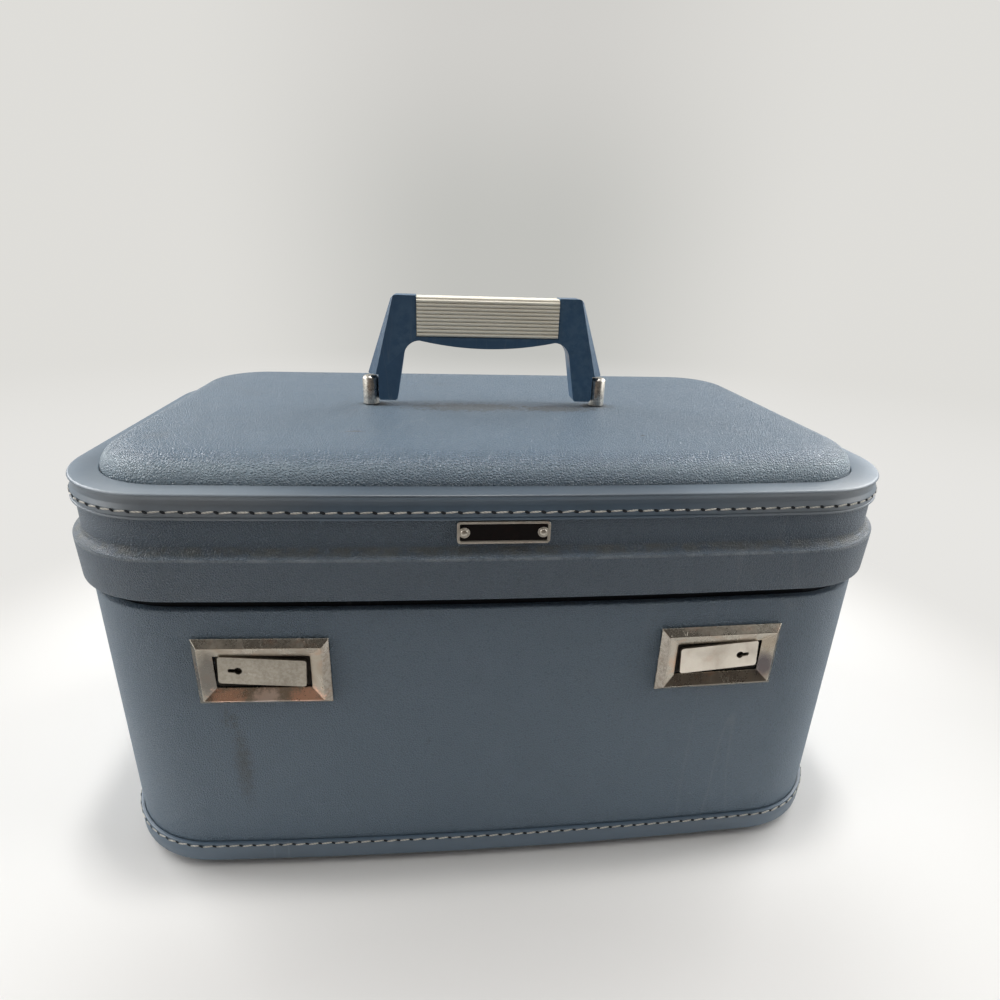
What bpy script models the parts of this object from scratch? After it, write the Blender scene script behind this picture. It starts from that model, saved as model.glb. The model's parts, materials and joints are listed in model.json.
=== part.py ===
# Cosmetic train case: stiff covered body, hinged domed lid, carrying handle and two front latches.
# Metres, +Z up. Origin on the floor under the middle of the footprint, front towards -Y.
import math

import bmesh
import bpy
from mathutils import Matrix, Vector

# Plan of the case, measured on the outer face of the body wall
CASE_WIDTH = 0.350
CASE_DEPTH = 0.210
CORNER_RADIUS = 0.046
FRONT_BOW = 0.003
CORNER_STEPS = 8
BOW_STEPS = 8

# Running and seating clearances
FIT = 0.0003
PIN_FIT = 0.00015
CUT_OVERRUN = 0.002

# Body
FLOOR_CLEARANCE = 0.006
BODY_HEIGHT = 0.1351
WALL = 0.004
EDGE_ROUND = 0.0006
BOTTOM_SEAT = 0.0026
BOTTOM_CHAMFER = 0.002
PANEL_THICKNESS = 0.003
SEAM_GAP = 0.0023

# Bottom binding, the smooth strip stitched round the lower edge
BINDING_PROUD = 0.0018
BINDING_HEIGHT = 0.0112
BINDING_CURL = 0.0042
BINDING_TURN_UNDER = 0.014
BINDING_SKIN = 0.002
WELT_HEIGHT = 0.0008
WELT_TOP_SHARE = 0.67
CURL_STEPS = 4

# Valance, the stiff band inside the mouth that the lid closes over
VALANCE_THICKNESS = 0.0015
VALANCE_BELOW_EDGE = 0.0131
VALANCE_ABOVE_EDGE = 0.0149

# Linings
LINING_THICKNESS = 0.001
LID_LINING_DEPTH = 0.001

# Feet
FOOT_RADIUS = 0.008
FOOT_STEM_RADIUS = 0.0055
FOOT_FROM_SIDE = 0.050
FOOT_FROM_END = 0.045
FOOT_GLIDE_SHARES = [(1.0, 0.75), (1.0, 0.33), (0.85, 0.12), (0.6, 0.0)]

# Lid wall
LID_WALL_HEIGHT = 0.0385
LID_INNER_INSET = 0.0032
COLLAR_HEIGHT = 0.018
COLLAR_STEP = 0.0035
COLLAR_TAPER = 0.0005
COLLAR_BEAD = 0.0008
COLLAR_SHOULDER = 0.0032
REBATE_HEIGHT = 0.0049
REBATE_DEPTH = 0.0012

# Lid binding: stitched flange, hollow side, rounded lip and flat ring on top
FLANGE_PROUD = 0.0013
FLANGE_HEIGHT = 0.003
LID_WELT_PROUD = 0.0016
HOLLOW_PROUD = 0.0003
LIP_PROUD = 0.0011
LIP_HEIGHT = 0.0104
RING_WIDTH = 0.0101
RING_SLOPE = 0.0008
RING_SKIN = 0.0022

# Domed lid panel
DOME_INSET = 0.0104
DOME_ROLL_WIDTH = 0.015
DOME_ROLL_HEIGHT = 0.0114
DOME_CROWN = 0.0005
DOME_CROWN_INSET = 0.040
DOME_THICKNESS = 0.004
PANEL_FLANGE = 0.0028
ROLL_STEPS = 6

# Mirror inside the lid
MIRROR_FROM_SIDE = 0.075
MIRROR_FROM_END = 0.045
MIRROR_GLASS = 0.003
MIRROR_RIM = 0.006
MIRROR_LIP = 0.0025
MIRROR_RIM_SKIN = 0.0012

# Hinges
HINGE_FROM_CORNER = 0.032
HINGE_WIDTH = 0.032
HINGE_BARREL_RADIUS = 0.0026
HINGE_PIN_RADIUS = 0.0013
HINGE_PIN_HEAD = 0.0019
HINGE_PIN_HEAD_LENGTH = 0.0008
HINGE_LEAF = 0.0012
BODY_LEAF_HEIGHT = 0.0215
LID_LEAF_HEIGHT = 0.0135
LEAF_TOP_DROP = 0.0003
LEAF_LINK_DROP = 0.0042
HINGE_RIVET_SPACING = 0.018
BODY_RIVET_DROP = 0.014
PIN_HEAD_SHARES = [(0.7, 1.0), (1.0, 0.5)]

# Rivets
RIVET_HEAD_RADIUS = 0.0026
RIVET_HEAD_HEIGHT = 0.0012
RIVET_SHANK_RADIUS = 0.0012
RIVET_SHORT_OF_WALL = 0.0005
RIVET_STEPS = 16
DOME_SHARES = [(0.5, 0.87), (0.85, 0.5)]

# Latches
LATCH_FROM_CORNER = 0.032
LATCH_BELOW_EDGE = 0.0312
BEZEL_WIDTH = 0.0546
BEZEL_HEIGHT = 0.0314
BEZEL_OUTER_BEVEL = 0.00285
BEZEL_INNER_BEVEL = 0.0052
BEZEL_EDGE = 0.0006
BEZEL_RIDGE = 0.0034
BEZEL_INNER_LIP = 0.0012
BASE_PLATE = 0.0005
THUMB_GAP = 0.0016
THUMB_PLAY = 0.0016
THUMB_SWING_CLEARANCE = 0.00015
THUMB_THICKNESS = 0.0014
THUMB_CORNER = 0.0012
KEYHOLE_FROM_END = 0.0085
KEYHOLE_RADIUS = 0.002
KEYHOLE_SLOT = 0.0014
KEYHOLE_SLOT_LENGTH = 0.0032
SPINDLE_RADIUS = 0.0023
SPINDLE_HOLE_RADIUS = 0.0035
BRACKET_WIDTH = 0.026
BRACKET_HEIGHT = 0.024
BRACKET_THICKNESS = 0.001
WASHER_RADIUS = 0.0048
WASHER_THICKNESS = 0.0004
WASHER_DISH = 0.0005
ARM_THICKNESS = 0.0012
ARM_HUB_RADIUS = 0.0055
ARM_WIDTH = 0.006
ARM_HEAD_WIDTH = 0.005
ARM_HEAD_HEIGHT = 0.003
ARM_REACH_ABOVE_SEAM = 0.0066
COVER_WIDTH = 0.030
COVER_SKIN = 0.0006
COVER_CLEARANCE = 0.002
COVER_TOP_DROP = 0.003
COVER_BELOW_PIVOT = 0.015

# Strikes on the lid, which the latch arms hook
STRIKE_WIDTH = 0.016
STRIKE_THICKNESS = 0.001
STRIKE_FLANGE_HEIGHT = 0.014
STRIKE_HOOK = 0.004
STRIKE_NOTCH_DEPTH = 0.0037
STRIKE_SIDE_GAP = 0.0005
STRIKE_CLEARANCE = 0.001

# Handle posts
POST_SPACING = 0.1172
POST_RADIUS = 0.004
POST_HEIGHT = 0.0143
POST_CHAMFER = 0.001
STUD_RADIUS = 0.0024
NUT_RADIUS = 0.006
NUT_THICKNESS = 0.0036
HANDLE_FORWARD = 0.006

# Handle
PIVOT_HEIGHT = 0.0076
HANDLE_PIN_RADIUS = 0.0015
PIN_DEPTH_IN_POST = 0.006
PIN_DEPTH_IN_LEG = 0.0075
HANDLE_THICKNESS = 0.011
HANDLE_EDGE = 0.001
HANDLE_RISE = 0.0462
HANDLE_TOP_WIDTH = 0.0934
LEG_SKIRT_WIDTH = 0.1192
LEG_OVER_POST = 0.0082
LEG_BELOW_PIVOT = 0.0046
LEG_FOOT_WIDTH = 0.0091
LEG_INNER_LEAN = 0.005
INNER_CORNER = 0.0065
GRIP_BELLY = 0.0036
BELLY_STEPS = 4
GRIP_LENGTH = 0.0704
GRIP_HEIGHT = 0.0187
GRIP_TOP_DROP = 0.0004
GRIP_HALF_THICKNESS = 0.0062
GRIP_RIBS = 10
RIB_DEPTH = 0.0005
RIB_GROOVE_SHARE = 0.4
TONGUE_HALF_THICKNESS = 0.0035
TONGUE_TOP_DROP = 0.004

# Nameplate
PLATE_WIDTH = 0.0364
PLATE_HEIGHT = 0.0093
PLATE_CORNER = 0.0015
PLATE_THICKNESS = 0.0014
PLATE_FRAME = 0.001
PLATE_RECESS = 0.0006
PLATE_RIVET_SPACING = 0.0308
PLATE_RIVET_RADIUS = 0.0015
PLATE_RIVET_HEIGHT = 0.0007
PLATE_SHANK_RADIUS = 0.0007
PLATE_SHANK_IN_WALL = 0.0016
PLATE_LIFT = 0.001

# Levels worked out from the sizes above
bottom_z = FLOOR_CLEARANCE
body_top_z = bottom_z + BODY_HEIGHT
lid_bottom_z = body_top_z + SEAM_GAP
lid_wall_top_z = lid_bottom_z + LID_WALL_HEIGHT
valance_top_z = body_top_z + VALANCE_ABOVE_EDGE
valance_bottom_z = body_top_z - VALANCE_BELOW_EDGE
panel_flange_z = lid_wall_top_z + FIT
panel_flange_top_z = panel_flange_z + PANEL_FLANGE
ring_bottom_z = panel_flange_top_z + FIT
dome_start_z = ring_bottom_z + RING_SKIN - RING_SLOPE
dome_edge_z = dome_start_z + DOME_ROLL_HEIGHT
dome_top_z = dome_edge_z + DOME_CROWN
pivot_z = dome_top_z + PIVOT_HEIGHT
latch_z = body_top_z - LATCH_BELOW_EDGE
hinge_z = body_top_z + SEAM_GAP / 2
hinge_y = CASE_DEPTH / 2 + COLLAR_STEP + FIT + HINGE_BARREL_RADIUS

# The footprint's middle is the origin, so the case sits forward of the hinge barrels' reach
rear_reach = hinge_y + HINGE_BARREL_RADIUS
front_reach = CASE_DEPTH / 2 + FRONT_BOW + COLLAR_STEP
case_y = (front_reach - rear_reach) / 2

corner_x = CASE_WIDTH / 2 - CORNER_RADIUS
corner_y = CASE_DEPTH / 2 - CORNER_RADIUS
bow_angle = 2 * math.atan(FRONT_BOW / corner_x)
bow_radius = CORNER_RADIUS + corner_x / math.sin(bow_angle)
bow_centre_y = corner_x / math.tan(bow_angle) - corner_y
latch_x = corner_x - LATCH_FROM_CORNER
hinge_x = corner_x - HINGE_FROM_CORNER
foot_x = CASE_WIDTH / 2 - FOOT_FROM_SIDE
foot_y = CASE_DEPTH / 2 - FOOT_FROM_END
mirror_x = CASE_WIDTH / 2 - MIRROR_FROM_SIDE
mirror_y = CASE_DEPTH / 2 - MIRROR_FROM_END

quarter = math.pi / 2
turned_steps = 24


# Scene, collections and materials
def clear_scene():
    for item in list(bpy.data.objects):
        bpy.data.objects.remove(item, do_unlink=True)


def make_collection(name):
    collection = bpy.data.collections.new(name)
    bpy.context.scene.collection.children.link(collection)
    return collection


def make_material(name, colour, roughness, metallic=0.0):
    material = bpy.data.materials.new(name)
    material.use_nodes = True
    shader = material.node_tree.nodes["Principled BSDF"]
    shader.inputs["Base Color"].default_value = (*colour, 1.0)
    shader.inputs["Roughness"].default_value = roughness
    shader.inputs["Metallic"].default_value = metallic
    material.diffuse_color = (*colour, 1.0)
    return material


clear_scene()
case_parts = make_collection("cosmetic_train_case")
cutters = make_collection("cutters")

vinyl = make_material("pebbled_vinyl", (0.115, 0.165, 0.215), 0.5)
binding_vinyl = make_material("smooth_binding", (0.085, 0.120, 0.155), 0.42)
valance_black = make_material("valance_band", (0.02, 0.024, 0.03), 0.6)
lining_cloth = make_material("lining_cloth", (0.30, 0.36, 0.42), 0.85)
board = make_material("bottom_board", (0.05, 0.06, 0.07), 0.8)
nickel = make_material("aged_nickel", (0.58, 0.54, 0.47), 0.3, 1.0)
steel = make_material("inner_steel", (0.42, 0.42, 0.41), 0.45, 1.0)
moulding = make_material("handle_moulding", (0.045, 0.085, 0.135), 0.38)
ivory = make_material("grip_ivory", (0.60, 0.55, 0.43), 0.45)
enamel = make_material("nameplate_metal", (0.32, 0.32, 0.31), 0.3, 1.0)
mirror_glass = make_material("mirror_glass", (0.80, 0.82, 0.83), 0.03, 1.0)


def make_empty(name, location, parent=None, angle_z=0.0):
    empty = bpy.data.objects.new(name, None)
    empty.location = location
    empty.rotation_euler = (0, 0, angle_z)
    empty.parent = parent
    case_parts.objects.link(empty)
    return empty


case_empty = make_empty("case_centre", (0, case_y, 0))
lid_empty = make_empty("lid_axis", (0, hinge_y, hinge_z), case_empty)
handle_empty = make_empty("handle_axis", (0, -HANDLE_FORWARD - hinge_y, pivot_z - hinge_z), lid_empty)


# Basic makers
def place(obj, parent, material=None):
    """Link the object, hand it its material and keep its mesh where it was modelled in the case's frame."""
    case_parts.objects.link(obj)
    if material:
        obj.data.materials.append(material)
    obj.parent = parent
    return obj


def shade(mesh, angle=math.radians(32)):
    mesh.shade_smooth()
    mesh.set_sharp_from_angle(angle=angle)


def finish_mesh(name, bm, material, parent, origin=(0, 0, 0)):
    """Turn a bmesh modelled in the case's frame into an object whose origin is its parent's."""
    bmesh.ops.recalc_face_normals(bm, faces=bm.faces)
    bmesh.ops.translate(bm, verts=bm.verts, vec=-Vector(origin))
    mesh = bpy.data.meshes.new(name)
    bm.to_mesh(mesh)
    bm.free()
    shade(mesh)
    return place(bpy.data.objects.new(name, mesh), parent, material)


lid_origin = (0, hinge_y, hinge_z)
handle_origin = (0, -HANDLE_FORWARD, pivot_z)


def case_outline(inset):
    """Plan outline of the case, moved inwards by inset from the body's outer face."""
    front_start = 3 * quarter - bow_angle
    front_end = 3 * quarter + bow_angle
    arcs = [
        ((corner_x, corner_y), CORNER_RADIUS, 0, quarter, CORNER_STEPS),
        ((-corner_x, corner_y), CORNER_RADIUS, quarter, 2 * quarter, CORNER_STEPS),
        ((-corner_x, -corner_y), CORNER_RADIUS, 2 * quarter, front_start, CORNER_STEPS),
        ((0, bow_centre_y), bow_radius, front_start, front_end, BOW_STEPS),
        ((corner_x, -corner_y), CORNER_RADIUS, front_end, 4 * quarter, CORNER_STEPS),
    ]
    points = []
    for (centre_x, centre_y), radius, start, end, steps in arcs:
        for step in range(steps + 1):
            angle = start + (end - start) * step / steps
            x = centre_x + (radius - inset) * math.cos(angle)
            y = centre_y + (radius - inset) * math.sin(angle)
            if not points or math.dist(points[-1], (x, y)) > FIT:
                points.append((x, y))
    return points


def rounded_rectangle(width, height, corner, steps=4):
    points = []
    for index, (side_x, side_y) in enumerate([(1, 1), (-1, 1), (-1, -1), (1, -1)]):
        for step in range(steps + 1):
            angle = quarter * (index + step / steps)
            x = side_x * (width / 2 - corner) + corner * math.cos(angle)
            y = side_y * (height / 2 - corner) + corner * math.sin(angle)
            points.append((x, y))
    return points


def loft(name, rings, material, parent, origin=(0, 0, 0), closed=False):
    """Skin a row of rings with equal counts. A closed row makes a tube, an open one gets two caps."""
    bm = bmesh.new()
    loops = [[bm.verts.new(point) for point in ring] for ring in rings]
    pairs = list(zip(loops, loops[1:]))
    if closed:
        pairs.append((loops[-1], loops[0]))
    else:
        bm.faces.new(loops[0])
        bm.faces.new(loops[-1])
    for first, second in pairs:
        for index in range(len(first)):
            following = (index + 1) % len(first)
            bm.faces.new((first[index], first[following], second[following], second[index]))
    return finish_mesh(name, bm, material, parent, origin)


def case_loft(name, profile, material, parent, origin=(0, 0, 0), closed=True):
    """Carry a profile of (inset, height) points round the plan outline of the case."""
    rings = [[(x, y, z) for x, y in case_outline(inset)] for inset, z in profile]
    return loft(name, rings, material, parent, origin, closed)


def box_mesh(bm, low, high):
    size = Vector(high) - Vector(low)
    centre = (Vector(high) + Vector(low)) / 2
    matrix = Matrix.Translation(centre) @ Matrix.Diagonal((*size, 1))
    return bmesh.ops.create_cube(bm, size=1, matrix=matrix)


def make_box(name, low, high, material, parent, origin=(0, 0, 0)):
    bm = bmesh.new()
    box_mesh(bm, low, high)
    return finish_mesh(name, bm, material, parent, origin)


def make_cylinder(name, start, end, radius, material, parent, origin=(0, 0, 0), steps=turned_steps):
    """A cylinder between two points."""
    bm = bmesh.new()
    along = Vector(end) - Vector(start)
    turn = along.to_track_quat("Z", "Y").to_matrix().to_4x4()
    matrix = Matrix.Translation((Vector(start) + Vector(end)) / 2) @ turn
    bmesh.ops.create_cone(
        bm, cap_ends=True, segments=steps, radius1=radius, radius2=radius, depth=along.length, matrix=matrix
    )
    return finish_mesh(name, bm, material, parent, origin)


def make_turned(
    name, profile, material, parent, location, rotation=(0, 0, 0), ring=False, steps=turned_steps
):
    """Spin a profile of (radius, height) points, which runs down the outer side, round its own Z."""
    mesh = bpy.data.meshes.new(name)
    edges = [(index, index + 1) for index in range(len(profile) - 1)]
    if ring:
        edges.append((len(profile) - 1, 0))
    mesh.from_pydata([(radius, 0, height) for radius, height in profile], edges, [])
    obj = place(bpy.data.objects.new(name, mesh), parent, material)
    obj.location = location
    obj.rotation_euler = rotation
    screw = obj.modifiers.new("turn", "SCREW")
    screw.steps = steps
    screw.render_steps = steps
    screw.use_merge_vertices = True
    screw.merge_threshold = 0.00002
    screw.use_smooth_shade = True
    return obj


def make_plate(name, outlines, thickness, material, parent, edge=0.0):
    """A flat plate in the XZ plane, from an outline and its holes, centred on its thickness in Y."""
    curve = bpy.data.curves.new(name + "_outline", "CURVE")
    curve.dimensions = "2D"
    curve.fill_mode = "BOTH"
    curve.extrude = thickness / 2 - edge
    curve.bevel_depth = edge
    curve.offset = -edge
    curve.bevel_resolution = 1
    for outline in outlines:
        spline = curve.splines.new("POLY")
        spline.points.add(len(outline) - 1)
        for point, (x, z) in zip(spline.points, outline):
            point.co = (x, z, 0, 1)
        spline.use_cyclic_u = True
    source = bpy.data.objects.new(name + "_outline", curve)
    bpy.context.scene.collection.objects.link(source)
    evaluated = source.evaluated_get(bpy.context.evaluated_depsgraph_get())
    mesh = bpy.data.meshes.new_from_object(evaluated)
    bpy.data.objects.remove(source, do_unlink=True)
    mesh.name = name
    mesh.transform(Matrix.Rotation(quarter, 4, "X"))
    bm = bmesh.new()
    bm.from_mesh(mesh)
    bmesh.ops.remove_doubles(bm, verts=bm.verts, dist=0.000005)
    bmesh.ops.recalc_face_normals(bm, faces=bm.faces)
    bm.to_mesh(mesh)
    bm.free()
    mesh.materials.clear()
    shade(mesh)
    return place(bpy.data.objects.new(name, mesh), parent, material)


def arc_points(centre, radius, start, end, steps):
    points = []
    for step in range(steps + 1):
        angle = start + (end - start) * step / steps
        points.append((centre[0] + radius * math.cos(angle), centre[1] + radius * math.sin(angle)))
    return points


def as_cutter(obj):
    case_parts.objects.unlink(obj)
    cutters.objects.link(obj)
    obj.hide_render = True
    obj.display_type = "WIRE"
    return obj


def boolean(obj, other, operation="DIFFERENCE"):
    modifier = obj.modifiers.new(operation.lower(), "BOOLEAN")
    modifier.operation = operation
    modifier.solver = "EXACT"
    modifier.object = as_cutter(other)


def move_to(obj, location, rotation=(0, 0, 0)):
    obj.location = location
    obj.rotation_euler = rotation
    return obj


# Body: wall, bottom, binding, valance, lining and feet
def build_body():
    top = body_top_z
    shell = case_loft(
        "body_shell",
        [
            (EDGE_ROUND, top),
            (0, top - EDGE_ROUND),
            (0, bottom_z + BOTTOM_SEAT + BOTTOM_CHAMFER),
            (BOTTOM_CHAMFER, bottom_z + BOTTOM_SEAT),
            (WALL, bottom_z + BOTTOM_SEAT),
            (WALL, top),
        ],
        vinyl,
        case_empty,
    )

    panel_inset = WALL + FIT
    panel_low = bottom_z + BINDING_SKIN + FIT
    panel_high = panel_low + PANEL_THICKNESS
    panel_faces = [(panel_inset, panel_low), (panel_inset, panel_high)]
    case_loft("bottom_panel", panel_faces, board, case_empty, closed=False)

    welt_top = bottom_z + BINDING_HEIGHT
    curl = BINDING_CURL
    binding = [(-FIT, welt_top), (-BINDING_PROUD * WELT_TOP_SHARE, welt_top)]
    binding.append((-BINDING_PROUD, welt_top - WELT_HEIGHT))
    for step in range(CURL_STEPS + 1):
        angle = quarter * step / CURL_STEPS
        inset = curl - BINDING_PROUD - curl * math.cos(angle)
        binding.append((inset, bottom_z + curl - curl * math.sin(angle)))
    binding += [
        (BINDING_TURN_UNDER, bottom_z),
        (BINDING_TURN_UNDER, bottom_z + BINDING_SKIN),
        (BOTTOM_CHAMFER - FIT, bottom_z + BINDING_SKIN),
        (-FIT, bottom_z + BINDING_SKIN + BOTTOM_CHAMFER),
    ]
    case_loft("bottom_binding", binding, binding_vinyl, case_empty)

    valance_inset = WALL + FIT
    inner = valance_inset + VALANCE_THICKNESS
    case_loft(
        "valance_band",
        [
            (valance_inset + EDGE_ROUND, valance_top_z),
            (valance_inset, valance_top_z - EDGE_ROUND),
            (valance_inset, valance_bottom_z),
            (inner, valance_bottom_z),
            (inner, valance_top_z),
        ],
        valance_black,
        case_empty,
    )

    lining_low = panel_high + FIT
    lining_inset = WALL + FIT
    lining = case_loft(
        "body_lining",
        [
            (lining_inset, lining_low),
            (lining_inset, valance_bottom_z - FIT),
            (lining_inset + LINING_THICKNESS, valance_bottom_z - FIT),
            (lining_inset + LINING_THICKNESS, lining_low + LINING_THICKNESS),
        ],
        lining_cloth,
        case_empty,
        closed=False,
    )

    foot_top = panel_low - FIT
    foot_profile = [(0, foot_top), (FOOT_STEM_RADIUS, foot_top), (FOOT_STEM_RADIUS, bottom_z)]
    for radius_share, height_share in FOOT_GLIDE_SHARES:
        foot_profile.append((FOOT_RADIUS * radius_share, FLOOR_CLEARANCE * height_share))
    foot_profile.append((0, 0))
    for side, side_sign in (("left", -1), ("right", 1)):
        for end, end_sign in (("front", -1), ("rear", 1)):
            make_turned(
                f"foot_{end}_{side}",
                foot_profile,
                nickel,
                case_empty,
                (side_sign * foot_x, end_sign * foot_y, 0),
            )
    return shell, lining


# Lid: wall with its stepped collar, domed panel, binding, lining and mirror
def build_lid():
    low = lid_bottom_z
    high = lid_wall_top_z
    bead_z = low + COLLAR_HEIGHT
    lower_proud = COLLAR_STEP - COLLAR_TAPER
    shell = case_loft(
        "lid_shell",
        [
            (LID_INNER_INSET, low),
            (EDGE_ROUND - lower_proud, low),
            (-lower_proud, low + EDGE_ROUND),
            (-COLLAR_STEP, bead_z),
            (-COLLAR_STEP, bead_z + COLLAR_BEAD),
            (0, bead_z + COLLAR_BEAD + COLLAR_SHOULDER),
            (0, high - REBATE_HEIGHT),
            (REBATE_DEPTH, high - REBATE_HEIGHT),
            (REBATE_DEPTH, high),
            (LID_INNER_INSET, high),
        ],
        vinyl,
        lid_empty,
        lid_origin,
    )

    flange_inset = REBATE_DEPTH
    inner_roll = DOME_ROLL_WIDTH - DOME_THICKNESS
    profile = [(DOME_CROWN_INSET, dome_top_z)]
    for step in range(ROLL_STEPS + 1):
        angle = quarter * (1 - step / ROLL_STEPS)
        inset = DOME_INSET + DOME_ROLL_WIDTH * (1 - math.cos(angle))
        profile.append((inset, dome_start_z + DOME_ROLL_HEIGHT * math.sin(angle)))
    profile += [
        (DOME_INSET, panel_flange_top_z),
        (flange_inset, panel_flange_top_z),
        (flange_inset, panel_flange_z),
        (DOME_INSET + DOME_THICKNESS, panel_flange_z),
    ]
    inner_rise = dome_edge_z - DOME_THICKNESS - panel_flange_top_z
    for step in range(ROLL_STEPS + 1):
        angle = quarter * step / ROLL_STEPS
        inset = DOME_INSET + DOME_THICKNESS + inner_roll * (1 - math.cos(angle))
        profile.append((inset, panel_flange_top_z + inner_rise * math.sin(angle)))
    profile.append((DOME_CROWN_INSET, dome_top_z - DOME_THICKNESS))
    panel = case_loft("lid_panel", profile, vinyl, lid_empty, lid_origin, closed=False)

    inner = REBATE_DEPTH - FIT
    foot = high - REBATE_HEIGHT + FIT
    flange_top = foot + WELT_HEIGHT * 2 + FLANGE_HEIGHT
    lip_z = foot + LIP_HEIGHT
    hollow = (lip_z - flange_top) / 2
    ring_top = ring_bottom_z + RING_SKIN
    binding = [
        (inner, foot),
        (-FLANGE_PROUD, foot),
        (-LID_WELT_PROUD, foot + WELT_HEIGHT / 2),
        (-FLANGE_PROUD, foot + WELT_HEIGHT),
        (-FLANGE_PROUD, flange_top - WELT_HEIGHT),
        (-(FLANGE_PROUD + HOLLOW_PROUD) / 2, flange_top),
        (-HOLLOW_PROUD, flange_top + hollow),
        (-LIP_PROUD, lip_z - EDGE_ROUND),
        (-LIP_PROUD + EDGE_ROUND, ring_top),
        (RING_WIDTH, ring_top - RING_SLOPE),
        (RING_WIDTH, ring_bottom_z),
        (inner, ring_bottom_z),
    ]
    case_loft("lid_binding", binding, binding_vinyl, lid_empty, lid_origin)

    lining_top = panel_flange_z - FIT
    lining_inset = LID_INNER_INSET + FIT
    lining_bottom = valance_top_z + STRIKE_CLEARANCE
    lining = case_loft(
        "lid_lining",
        [
            (lining_inset, lining_top),
            (lining_inset, lining_bottom),
            (lining_inset + LID_LINING_DEPTH, lining_bottom),
            (lining_inset + LID_LINING_DEPTH, lining_top - LID_LINING_DEPTH),
        ],
        lining_cloth,
        lid_empty,
        lid_origin,
        closed=False,
    )

    ceiling = lining_top - LID_LINING_DEPTH
    glass_top = ceiling - FIT
    glass_low = glass_top - MIRROR_GLASS
    make_box(
        "lid_mirror",
        (-mirror_x, -mirror_y, glass_low),
        (mirror_x, mirror_y, glass_top),
        mirror_glass,
        lid_empty,
        lid_origin,
    )
    rim_rings = []
    rim_low = glass_low - FIT - MIRROR_RIM_SKIN
    for grow, z in (
        (FIT, glass_top),
        (MIRROR_RIM, glass_top),
        (MIRROR_RIM, rim_low + MIRROR_RIM_SKIN),
        (MIRROR_RIM - MIRROR_RIM_SKIN, rim_low),
        (-MIRROR_LIP, rim_low),
        (-MIRROR_LIP, rim_low + MIRROR_RIM_SKIN),
        (FIT, rim_low + MIRROR_RIM_SKIN),
    ):
        x = mirror_x + grow
        y = mirror_y + grow
        rim_rings.append([(x, y, z), (-x, y, z), (-x, -y, z), (x, -y, z)])
    loft("mirror_frame", rim_rings, nickel, lid_empty, lid_origin, closed=True)
    return shell, panel, lining


# One rivet and the holes it passes through
def add_rivet(name, parent, seat, turn, head_radius, head_height, shank_radius, shank_length, holes_in):
    """Head outside, shank inwards. seat is where the head rests, turn points its axis outwards."""
    profile = [(0, head_height)]
    for radius_share, height_share in DOME_SHARES:
        profile.append((head_radius * radius_share, head_height * height_share))
    profile += [(head_radius, 0), (shank_radius, 0), (shank_radius, -shank_length), (0, -shank_length)]
    make_turned(name, profile, nickel, parent, seat, turn, steps=RIVET_STEPS)
    for target in holes_in:
        hole = make_turned(
            name + "_hole",
            [
                (0, head_height),
                (shank_radius + PIN_FIT, head_height),
                (shank_radius + PIN_FIT, -shank_length - FIT),
                (0, -shank_length - FIT),
            ],
            nickel,
            parent,
            seat,
            turn,
            steps=RIVET_STEPS,
        )
        boolean(target, hole)


outward_rear = (-quarter, 0, 0)
outward_front = (quarter, 0, 0)


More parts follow.
